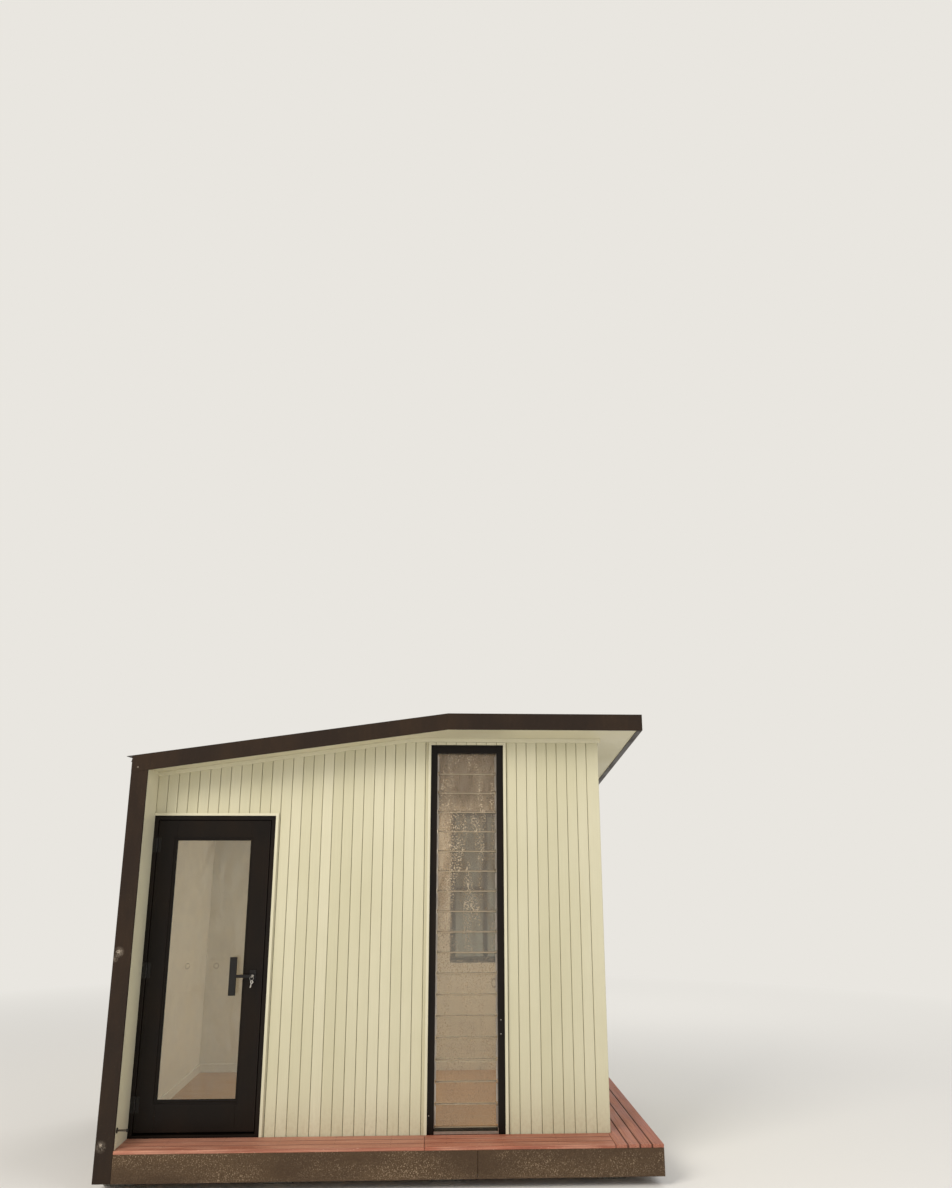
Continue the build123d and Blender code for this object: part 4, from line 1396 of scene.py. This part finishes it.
@dataclass
class Deck:
    """Hardwood boards with screws, the timber under them and the pads.

    joint is where the front rows are joined, from their left end. insets are from the edges of
    a row to its two screws, and ends from the ends of the front rows to where joists count.
    tone_steps lead from one board's tone to the next, across a joint, and to the side boards.
    """

    rows: int = 3
    side_rows: int = 4
    gap: float = 4 * MM
    joint: float = 1.98
    rounding: float = 3 * MM
    screw_radius: float = 4.2 * MM
    screw_sunk: float = 0.8 * MM
    insets: Pair = (20 * MM, 23 * MM)
    ends: Pair = (30 * MM, 10 * MM)
    tone_steps: tuple[int, int, int] = (5, 7, 3)

    def boards(self, bench: Bench, node: str, axis: int, finish: Finish) -> None:
        """Makes one set of deck boards.

        Args:
            bench: where the pieces are made.
            node: the CAD boards.
            axis: the axis across them.
            finish: their finish.
        """
        low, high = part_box(node)
        rows = self.rows if axis == Y else self.side_rows
        pitch = (high[axis] - low[axis]) / rows
        step = (high[axis] - low[axis] + self.gap) / rows
        # the gaps between the boards, along which the finish paints shade
        gaps = Row("XYZ"[axis], low[axis] + step - self.gap / 2, step, rows - 1)
        bm = ease(bench.copy(node), self.rounding, sharper_than=60.0)

        def key(middle: Vector) -> int:
            """Number of the board, and of its length where a row has two.

            Args:
                middle: the middle of a face.

            Returns:
                A number that differs from board to board.
            """
            row, past_joint = int((middle[axis] - low[axis]) // pitch), middle.x > low.x + self.joint
            by_row, by_joint, by_set = self.tone_steps
            return row * by_row + (by_joint if axis == Y and past_joint else 0) + by_set * axis

        bench.place(f"{node}_finished", tone_faces(bm, key), [replace(finish, gaps=gaps)],
                    "deck_timber", stands_for=(node,))

    def middles(self, bench: Bench, node: str, axis: int) -> list[float]:
        """Where the timbers of a node lie along an axis."""
        return sorted((low[axis] + high[axis]) / 2 for low, high in solids(bench.copy(node)))

    def pairs(self, low: float, high: float, rows: int) -> list[Pair]:
        """Places of the two screws on each row of boards between two edges.

        Args:
            low: the lower edge.
            high: the upper edge.
            rows: how many rows there are.

        Returns:
            The two places for each row.
        """
        width = (high - low) / rows
        near, far = self.insets
        return [(low + row * width + near, low + (row + 1) * width - far) for row in range(rows)]

    def screws(self, bench: Bench) -> BMesh:
        """Two screws wherever a board crosses a joist, a rim or a nogging.

        Args:
            bench: holds the CAD nodes.

        Returns:
            A new bmesh.
        """
        low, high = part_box("deck_front_boards")
        left_end, right_end = self.ends
        joists = [x for x in self.middles(bench, "floor_joists", X)
                  if low.x + left_end < x < high.x - right_end]
        heads = [(x, y) for x in joists for pair in self.pairs(low.y, high.y, self.rows) for y in pair]
        low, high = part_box("deck_side_boards")
        under_wall, *open_rows = self.pairs(low.x, high.x, self.side_rows)
        for y in self.middles(bench, "rim_joists", Y):
            open_pairs = open_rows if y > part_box("right_wall")[0].y else [under_wall, *open_rows]
            heads += [(x, y) for pair in open_pairs for x in pair]
        return join(screw((x, y, high.z - self.screw_sunk), UP, self.screw_radius) for x, y in heads)

    def build(self, bench: Bench) -> None:
        """Makes the deck and dresses what carries it.

        Args:
            bench: where the pieces are made.
        """
        self.boards(bench, "deck_front_boards", Y, DECK_ALONG)
        self.boards(bench, "deck_side_boards", X, DECK_ACROSS)
        bench.place("deck_screws", self.screws(bench), [DECK_SCREW], "deck_timber")
        Eased("footing_pads", CONCRETE, "concrete", radius=8 * MM, segments=3).build(bench)
        bench.dress(SAWN_TIMBER, "floor_joists", "rim_joists")


# Door

@dataclass
class DoorStop:
    """Steel rod on the fin with a rubber foot, and a rubber tip for the open leaf."""

    tip_length: float = 12 * MM
    tip_radius: float = 9.5 * MM
    tip_rim: float = 2 * MM
    foot_height: float = 5 * MM
    foot_radii: Pair = (17 * MM, 15.5 * MM)      # on the fin and towards the tip

    def build(self, bench: Bench) -> None:
        """Dresses the rod and adds the rubber.

        Args:
            bench: where the pieces are made.
        """
        Eased("door_stop", STOP_STEEL, "stop_metal", radius=1 * MM, smooth=20).build(bench)
        low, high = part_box("door_stop")
        _, y, z = (low + high) / 2
        base, top = self.foot_radii
        tip = turned((high.x - self.tip_length, y, z), (high.x, y, z), self.tip_radius, rim=self.tip_rim)
        foot = turned(
            (low.x, y, z), (low.x + self.foot_height, y, z), base, sides=32, end_radius=top,
        )
        bench.place("door_stop_rubber", join([tip, foot]), [RUBBER], "stop_metal", smooth=40)


@dataclass
class HingeScrews:
    """Three screws on each plate of the three hinges."""

    radius: float = 3.8 * MM
    plate: float = 2.5 * MM        # thickness
    plate_inset: float = 10 * MM   # from a plate's edge
    hinge_middle: float = 50 * MM  # of the top and bottom hinge, from its end
    pitch: float = 36 * MM

    def column(self, x: float) -> BMesh:
        """The screws above each other at one place.

        Args:
            x: their place.

        Returns:
            A new bmesh.
        """
        low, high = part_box("door_hinges")
        middles = (low.z + self.hinge_middle, (low.z + high.z) / 2, high.z - self.hinge_middle)
        steps = (-self.pitch, 0.0, self.pitch)
        return join(
            screw((x, high.y - self.plate, z + step), FORWARDS, self.radius)
            for z in middles for step in steps
        )

    def build(self, bench: Bench) -> None:
        """Puts screws on the frame's halves and on the leaf's.

        Args:
            bench: where the pieces are made.
        """
        on_frame = self.column(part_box("frame_hinges")[0].x + self.plate_inset)
        on_leaf = self.column(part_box("door_hinges")[1].x - self.plate_inset)
        bench.place("frame_hinge_screws", on_frame, [HARDWARE_COAT], "black_hardware")
        bench.place("door_hinge_screws", on_leaf, [HARDWARE_COAT], "black_hardware", "door")


@dataclass(frozen=True)
class Slab:
    """A small block: two corners and the rounding of its edges, in millimetres from the lock."""

    low: Triple
    high: Triple
    radius: float

    def mesh(self, spot: Triple) -> BMesh:
        """The block beside the middle of the lock's front."""
        return block(beside(spot, self.low), beside(spot, self.high), self.radius * MM)


@dataclass
class Lock:
    """Lock face with a keyway, a key in it, and a ring that carries a second plain key.

    Places are in millimetres from the middle of the lock's front.
    """

    from_end: float = 22 * MM      # of the lock's middle, from the right end of the pull
    proud: float = 22 * MM         # of the lock's front, from the stiles
    face_radius: float = 9.02 * MM
    face_rim: float = 0.8 * MM
    face_depth: Pair = (-0.8, 3.0)
    keyway: Slab = Slab((-1.1, -1.2, -4.5), (1.1, 0.0, 4.5), 0.3)
    bow: Slab = Slab((-1.3, -30.0, -11.0), (1.3, -11.0, 11.0), 1.1)
    neck: Slab = Slab((-1.2, -13.0, -4.0), (1.2, 1.0, 4.0), 0.4)
    ring: Triple = (0.0, -24.0, -14.0)
    ring_radius: float = 13 * MM
    ring_steps: int = 36
    wire: float = 1.1 * MM
    wire_sides: int = 8
    spare_bow: Triple = (4.0, -24.0, -36.0)
    spare_bow_size: Triple = (11 * MM, 6.5 * MM, 2.2 * MM)      # radius, width of its rim, thickness
    spare_blade: Slab = Slab((0.8, -24.0, -74.0), (7.5, -22.2, -45.0), 0.5)
    spare_bit: Slab = Slab((7.0, -23.8, -70.0), (9.0, -22.4, -62.0), 0.4)
    spare_pivot: float = -30.0
    spare_tilt: float = 14.0       # degrees

    def wire_ring(self, middle: Sequence[float]) -> BMesh:
        """A ring of round wire that faces the front: a small circle spun round the middle.

        Args:
            middle: the middle of the ring.

        Returns:
            A new bmesh.
        """
        bm = bmesh.new()
        start = Matrix.Translation((middle[X] + self.ring_radius, middle[Y], middle[Z]))
        bmesh.ops.create_circle(bm, segments=self.wire_sides, radius=self.wire, matrix=start)
        bmesh.ops.spin(
            bm, geom=[*bm.verts, *bm.edges], cent=middle, axis=(0, 1, 0), angle=2 * math.pi,
            steps=self.ring_steps, use_merge=True,
        )
        bmesh.ops.recalc_face_normals(bm, faces=bm.faces)
        return bm

    def keys(self, spot: Triple) -> BMesh:
        """The key in the lock, the ring and the second key, which hangs at a tilt.

        Args:
            spot: middle of the lock's front.

        Returns:
            A new bmesh.
        """
        spare = join([
            round_ring(beside(spot, self.spare_bow), *self.spare_bow_size),
            self.spare_blade.mesh(spot), self.spare_bit.mesh(spot),
        ])
        pivot = Matrix.Translation((spot[X], 0.0, spot[Z] + self.spare_pivot * MM))
        tilt = Matrix.Rotation(math.radians(self.spare_tilt), 4, "Y")
        bmesh.ops.transform(spare, verts=spare.verts, matrix=pivot @ tilt @ pivot.inverted())
        ring = self.wire_ring(beside(spot, self.ring))
        return join([self.bow.mesh(spot), self.neck.mesh(spot), ring, spare])

    def build(self, bench: Bench) -> None:
        """Makes the lock face, the keyway and the keys.

        Args:
            bench: where the pieces are made.
        """
        low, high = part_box("door_pull")
        spot = (high.x - self.from_end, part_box("door_stiles")[0].y - self.proud, (low.z + high.z) / 2)
        start, end = (beside(spot, (0.0, depth, 0.0)) for depth in self.face_depth)
        face = turned(start, end, self.face_radius, sides=28, rim=self.face_rim)
        bench.place("lock_face", face, [PLATED_STEEL], "black_hardware", "door", smooth=40)
        bench.place("keyway", self.keyway.mesh(spot), [RUBBER], "black_hardware", "door")
        bench.place("house_keys", self.keys(spot), [PLATED_STEEL], "black_hardware", "door", smooth=40)


@dataclass
class Door:
    """The glazed leaf with its frame, hinges, pull, lock and stop, and rings on the glass."""

    ring_height: float = 1.325                         # above the ground
    ring_places: Pair = (-1.388, -1.188)
    ring_radius: float = 18 * MM
    ring_width: float = 3 * MM
    ring_film: float = 0.4 * MM

    def rings(self) -> BMesh:
        """The safety rings on the front of the glass.

        Returns:
            A new bmesh.
        """
        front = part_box("door_glass")[0].y - self.ring_film
        return join(
            round_ring((x, front, self.ring_height), self.ring_radius, self.ring_width, self.ring_film)
            for x in self.ring_places
        )

    def build(self, bench: Bench) -> None:
        """Makes the whole door.

        Args:
            bench: where the pieces are made.
        """
        for node in ("door_jambs", "door_head", "door_threshold"):
            Eased(node, FRAME_COAT, "frame_metal").build(bench)
        Eased("frame_hinges", HARDWARE_COAT, "black_hardware", radius=0.5 * MM).build(bench)
        DoorStop().build(bench)
        for node in ("door_stiles", "door_rails"):
            Eased(node, FRAME_COAT, "frame_metal", radius=1.2 * MM, body="door").build(bench)
        Eased("door_glass", DOOR_GLASS, "clear_glass", radius=0.5 * MM, body="door").build(bench)
        seals = bench.glazing_seals("door_glass")
        bench.place("door_glass_seals", seals, [RUBBER], "frame_metal", "door")
        bench.place("safety_rings", self.rings(), [PRINTED_RING], "clear_glass", "door")
        Eased("door_hinges", HARDWARE_COAT, "black_hardware", radius=0.5 * MM, body="door").build(bench)
        Eased("door_pull", HARDWARE_COAT, "black_hardware", body="door", segments=3).build(bench)
        Lock().build(bench)
        HingeScrews().build(bench)


# Windows

@dataclass
class BladeLever:
    """The flat loop that turns the lower blades, behind the glass on the right."""

    middle: float = 1.197          # above the ground
    width: float = 38 * MM
    height: float = 66 * MM
    thickness: float = 6 * MM
    from_side: float = 4 * MM      # from the gallery's right side
    behind: float = 36 * MM        # from the gallery's front
    stub_reach: Pair = (-12 * MM, -3 * MM)       # from the gallery's right side
    stub_depth: Pair = (-1 * MM, 5 * MM)         # from the loop's front
    stub_half: float = 12 * MM

    def build(self, bench: Bench) -> None:
        """Makes the loop and its stub.

        Args:
            bench: where the pieces are made.
        """
        low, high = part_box("louvre_galleries")
        x, y = high.x - self.from_side - self.width / 2, low.y + self.behind
        loop = round_ring((x, y, self.middle), self.width / 2, self.thickness, self.thickness)
        about = Matrix.Translation((-x, -y, -self.middle))
        bmesh.ops.scale(loop, vec=(1, 1, self.height / self.width), space=about, verts=loop.verts)
        (left, right), (near, far) = self.stub_reach, self.stub_depth
        stub = block((high.x + left, y + near, self.middle - self.stub_half),
                     (high.x + right, y + far, self.middle + self.stub_half), radius=1 * MM)
        bench.place("louvre_lever", join([ease(loop, 1 * MM), stub]), [ALUMINIUM], "gallery_metal")


@dataclass
class SillNosing:
    """Bright nosing in front of the sill, with an upstand at its right end.

    Each of its blocks has a setback from the front and, as shares of the height, a foot and a
    top.
    """

    depth: float = 12 * MM
    height: float = 17 * MM
    off_deck: float = 1 * MM
    lower: Triple = (0.0, 0.0, 0.45)
    upper: Triple = (4 * MM, 0.4, 1.0)
    upstand: Triple = (2 * MM, 0.9, 2.2)
    upstand_width: float = 4 * MM

    def build(self, bench: Bench) -> None:
        """Makes the nosing.

        Args:
            bench: where the pieces are made.
        """
        low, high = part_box("louvre_head_sill")
        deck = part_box("deck_front_boards")[1].z + self.off_deck
        runs = ((low.x, self.lower), (low.x, self.upper), (high.x - self.upstand_width, self.upstand))
        bm = join(
            block((left, low.y - self.depth + setback, deck + self.height * foot),
                  (high.x, low.y, deck + self.height * top), radius=1 * MM)
            for left, (setback, foot, top) in runs
        )
        bench.place("louvre_sill_nosing", bm, [ALUMINIUM], "gallery_metal")


@dataclass
class LouvreWindow:
    """Tall window of overlapping glass blades in clips, with a rivet in every clip.

    scale_rise is how far the pale scale lies over a blade's lower end. A blade's ground edges
    are its sloping faces under edge_area, in square metres. A rivet stands rivet_inset inside
    the gallery's side, rivet_front before the blades and rivet_rise over a blade's middle.
    """

    blades: int = 18
    overlap: float = 12 * MM
    easing: float = 0.8 * MM
    scale_rise: float = 4 * MM
    edge_slope: float = 0.35
    edge_area: float = 0.005
    rivet_inset: float = 7.5 * MM
    rivet_front: float = 8 * MM
    rivet_rise: float = 6 * MM
    rivet_depth: Pair = (1 * MM, -1.8 * MM)
    rivet_radii: Pair = (3 * MM, 1.6 * MM)
    screw_radius: float = 4.2 * MM
    fixings: tuple[Pair, ...] = ((0.809, 0.963), (0.809, 0.873), (0.312, 0.364))    # x and z

    @property
    def pitch(self) -> float:
        """Height from one blade to the next."""
        low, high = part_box("louvre_blades")
        return (high.z - low.z - self.overlap) / self.blades

    def glass(self, bench: Bench) -> None:
        """Blades with clear faces and ground long edges.

        Args:
            bench: where the pieces are made.
        """
        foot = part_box("louvre_blades")[0].z
        edges = Row("Z", foot + self.scale_rise, self.pitch, self.blades)
        bm = ease(bench.copy("louvre_blades"), self.easing)
        for face in bm.faces:
            ground = abs(face.normal.z) > self.edge_slope and face.calc_area() < self.edge_area
            face.material_index = int(ground)
        finishes = [replace(LOUVRE_GLASS, edges=edges), GROUND_EDGE]
        bench.place("louvre_blades_finished", bm, finishes, "clear_glass", stands_for=("louvre_blades",))

    def rivets(self) -> BMesh:
        """A domed rivet in the front of every clip.

        Returns:
            A new bmesh.
        """
        low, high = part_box("louvre_galleries")
        glass_low, glass_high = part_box("louvre_blades")
        front = (glass_low.y + glass_high.y) / 2 - self.rivet_front
        (back, top), (foot_radius, top_radius) = self.rivet_depth, self.rivet_radii
        heights = [
            glass_low.z + self.pitch * (blade + 0.5) + self.rivet_rise for blade in range(self.blades)
        ]
        return join(
            turned((x, front + back, z), (x, front + top, z), foot_radius, 14, top_radius)
            for x in (low.x + self.rivet_inset, high.x - self.rivet_inset)
            for z in heights
        )

    def build(self, bench: Bench) -> None:
        """Makes the window.

        Args:
            bench: where the pieces are made.
        """
        for node in ("louvre_jambs", "louvre_head_sill"):
            Eased(node, FRAME_COAT, "frame_metal").build(bench)
        Eased("louvre_galleries", ALUMINIUM, "gallery_metal", radius=0.5 * MM).build(bench)
        self.glass(bench)
        BladeLever().build(bench)
        SillNosing().build(bench)
        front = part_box("louvre_jambs")[0].y
        heads = join(screw((x, front, z), FORWARDS, self.screw_radius) for x, z in self.fixings)
        bench.place("louvre_jamb_screws", heads, [PLATED_STEEL], "frame_metal")
        bench.place("louvre_rivets", self.rivets(), [PLATED_STEEL], "gallery_metal", smooth=40)


@dataclass
class BackWindow:
    """Fixed window in the back wall."""

    def build(self, bench: Bench) -> None:
        """Makes the window.

        Args:
            bench: where the pieces are made.
        """
        Eased("back_window_frame", FRAME_COAT, "frame_metal").build(bench)
        Eased("back_window_glass", BACK_GLASS, "clear_glass", radius=0.5 * MM).build(bench)
        seals = bench.glazing_seals("back_window_glass")
        bench.place("back_window_seals", seals, [RUBBER], "frame_metal")


# Room

@dataclass
class Room:
    """Floor planks and skirting.

    The two planks of a row meet at first_end, or up to ends - 1 end_steps further from the left
    wall. stagger leads from one row's end to the next, and tone_step from one row's tone.
    """

    plank: float = 0.139
    joint: float = 0.6 * MM
    easing: float = 0.8 * MM
    first_end: float = 0.55
    end_step: float = 0.37
    ends: int = 7
    stagger: int = 5
    tone_step: int = 3
    skirting_height: float = 68 * MM
    skirting_depth: float = 12 * MM

    def end(self, row: int) -> float:
        """Where the planks of a row meet, from the left wall."""
        return self.first_end + self.end_step * (row * self.stagger % self.ends)

    def planks(self, bench: Bench) -> BMesh:
        """Cuts the floor sheet into planks with eased edges.

        Args:
            bench: holds the CAD nodes.

        Returns:
            A new bmesh.
        """
        low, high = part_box("floor_sheet")
        whole = bench.copy("floor_sheet")
        parts = []
        for row in range(math.ceil((high.y - low.y) / self.plank)):
            near = low.y + row * self.plank
            far = min(near + self.plank, high.y)
            strip = keep_between(whole.copy(), Y, near + self.joint, far - self.joint)
            end = low.x + self.end(row)
            for left, right in ((low.x, end), (end, high.x)):
                plank = keep_between(strip.copy(), X, left + self.joint, right - self.joint)
                parts.append(ease(plank, self.easing, 1))
            strip.free()
        whole.free()
        return join(parts)

    def skirting(self) -> BMesh:
        """Boards along the foot of the inner walls, stopped at the door and the window.

        Returns:
            A new bmesh.
        """
        low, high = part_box("floor_sheet")
        top = high.z + self.skirting_height
        depth = self.skirting_depth
        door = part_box("door_jambs")[1].x
        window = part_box("louvre_jambs")
        runs = (
            ((low.x, low.y, high.z), (low.x + depth, high.y, top)),
            ((high.x - depth, low.y, high.z), (high.x, high.y, top)),
            ((low.x + depth, high.y - depth, high.z), (high.x - depth, high.y, top)),
            ((door, low.y, high.z), (window[0].x, low.y + depth, top)),
            ((window[1].x, low.y, high.z), (high.x - depth, low.y + depth, top)),
        )
        return join(block(start, end, radius=2 * MM) for start, end in runs)

    def build(self, bench: Bench) -> None:
        """Makes the room's fittings.

        Args:
            bench: where the pieces are made.
        """
        low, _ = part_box("floor_sheet")

        def key(middle: Vector) -> int:
            """Number of the plank."""
            row = int((middle.y - low.y) // self.plank)
            return row * self.tone_step + int(middle.x > low.x + self.end(row))

        bm = tone_faces(self.planks(bench), key)
        bench.place("floor_planks", bm, [PLANK], "floor_panel", stands_for=("floor_sheet",))
        bench.place("skirting", self.skirting(), [SKIRTING_PAINT], "ceiling_paint")


# Studio

@dataclass(frozen=True)
class Lamp:
    """A square soft lamp: where it stands, the point that it faces, its side in metres, its power."""

    name: str
    place: Triple
    aim: Triple
    size: float
    watts: float
    tint: str

    def build(self) -> None:
        """Adds the lamp, which only its light gives away."""
        data = bpy.data.lights.new(self.name, "AREA")
        data.size = self.size
        data.energy = self.watts
        data.color = linear(self.tint)[:3]
        lamp = bpy.data.objects.new(self.name, data)
        lamp.visible_camera = lamp.visible_transmission = lamp.visible_glossy = False
        lamp.location = self.place
        lamp.rotation_euler = (Vector(self.aim) - Vector(self.place)).to_track_quat("-Z", "Y").to_euler()
        bpy.context.scene.collection.objects.link(lamp)


@dataclass
class Studio:
    """Pale floor and background, soft lamps and the camera."""

    backdrop: str = "#e9e6e0"
    floor_half: float = 60.0
    fade: Pair = (3.5, 11.0)     # from the middle: where the floor turns into the background
    lens: float = 28.88
    sensor: float = 36.0
    clip: float = 500.0
    eye: Triple = (0.3075, -8.158, 2.039)
    pitch: float = 15.6          # degrees above level
    turn: float = 2.6            # degrees to the right
    sky: float = 0.62
    lamps: tuple[Lamp, ...] = (
        Lamp("key", (-5.5, -8.0, 7.5), (0.0, -0.8, 1.2), 5.0, 800.0, "#fffaf3"),
        Lamp("fill", (7.0, -7.0, 4.0), (0.0, 0.0, 1.4), 5.0, 220.0, "#f8f9ff"),
        Lamp("back", (4.0, 8.0, 7.0), (0.0, 0.0, 1.4), 5.0, 320.0, "#ffffff"),
        Lamp("room", (0.6, 0.2, 2.6), (0.6, 0.2, 0.3), 1.2, 26.0, "#fff6ea"),
    )

    def camera(self) -> None:
        """Puts the camera where the photograph was taken."""
        data = bpy.data.cameras.new("camera")
        data.lens = self.lens
        data.sensor_width = self.sensor
        data.clip_end = self.clip
        camera = bpy.data.objects.new("camera", data)
        camera.location = self.eye
        camera.rotation_euler = (math.radians(90 + self.pitch), 0.0, math.radians(-self.turn))
        bpy.context.scene.collection.objects.link(camera)
        bpy.context.scene.camera = camera

    def floor(self) -> None:
        """A pale floor that fades into the background far from the pod."""
        bm = bmesh.new()
        bmesh.ops.create_grid(bm, x_segments=8, y_segments=8, size=self.floor_half)
        mesh = bpy.data.meshes.new("studio_floor")
        bm.to_mesh(mesh)
        bm.free()
        material = bpy.data.materials.new("pale_studio_floor")
        recipe = Recipe(material)
        away = recipe.add("VectorMath", {0: recipe.place}, operation="LENGTH").outputs["Value"]
        near, far = self.fade
        fade = recipe.add("MapRange", {"Value": away, "From Min": near, "From Max": far})
        solid = recipe.add("BsdfDiffuse", {"Color": linear(self.backdrop)})
        bright = recipe.add("Emission", {"Color": linear(self.backdrop), "Strength": 1.0})
        mixed = recipe.add("MixShader", {
            0: fade.outputs[0], 1: solid.outputs[0], 2: bright.outputs[0],
        })
        recipe.add("OutputMaterial", {"Surface": mixed.outputs[0]})
        mesh.materials.append(material)
        floor = bpy.data.objects.new("studio_floor", mesh)
        bpy.context.scene.collection.objects.link(floor)

    def world(self) -> None:
        """Soft light from all round, and a pale background to sight, gloss and glass."""
        world = bpy.data.worlds.new("studio")
        recipe = Recipe(world)
        light = recipe.add("Background", {"Strength": self.sky})
        seen = recipe.add("Background", {"Color": linear(self.backdrop)})
        rays = recipe.add("LightPath").outputs
        direct = rays["Is Camera Ray"]
        for ray in ("Is Glossy Ray", "Is Transmission Ray"):
            direct = recipe.add("Math", {0: direct, 1: rays[ray]}, operation="MAXIMUM").outputs[0]
        mixed = recipe.add("MixShader", {0: direct, 1: light.outputs[0], 2: seen.outputs[0]})
        recipe.add("OutputWorld", {"Surface": mixed.outputs[0]})
        bpy.context.scene.world = world

    def build(self) -> None:
        """Sets up the studio."""
        bpy.context.scene.view_settings.view_transform = "Standard"
        self.camera()
        self.floor()
        self.world()
        for lamp in self.lamps:
            lamp.build()


def main() -> None:
    """Builds the studio and every part of the pod in order."""
    logging.basicConfig(level=logging.INFO, format="%(name)s: %(message)s", force=True)
    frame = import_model()
    Studio().build()
    bench = Bench(frame)
    for part in (Walls(), Shell(), RoofCover(), Deck(), Door(), LouvreWindow(), BackWindow(), Room()):
        part.build(bench)


if __name__ == "__main__":
    main()
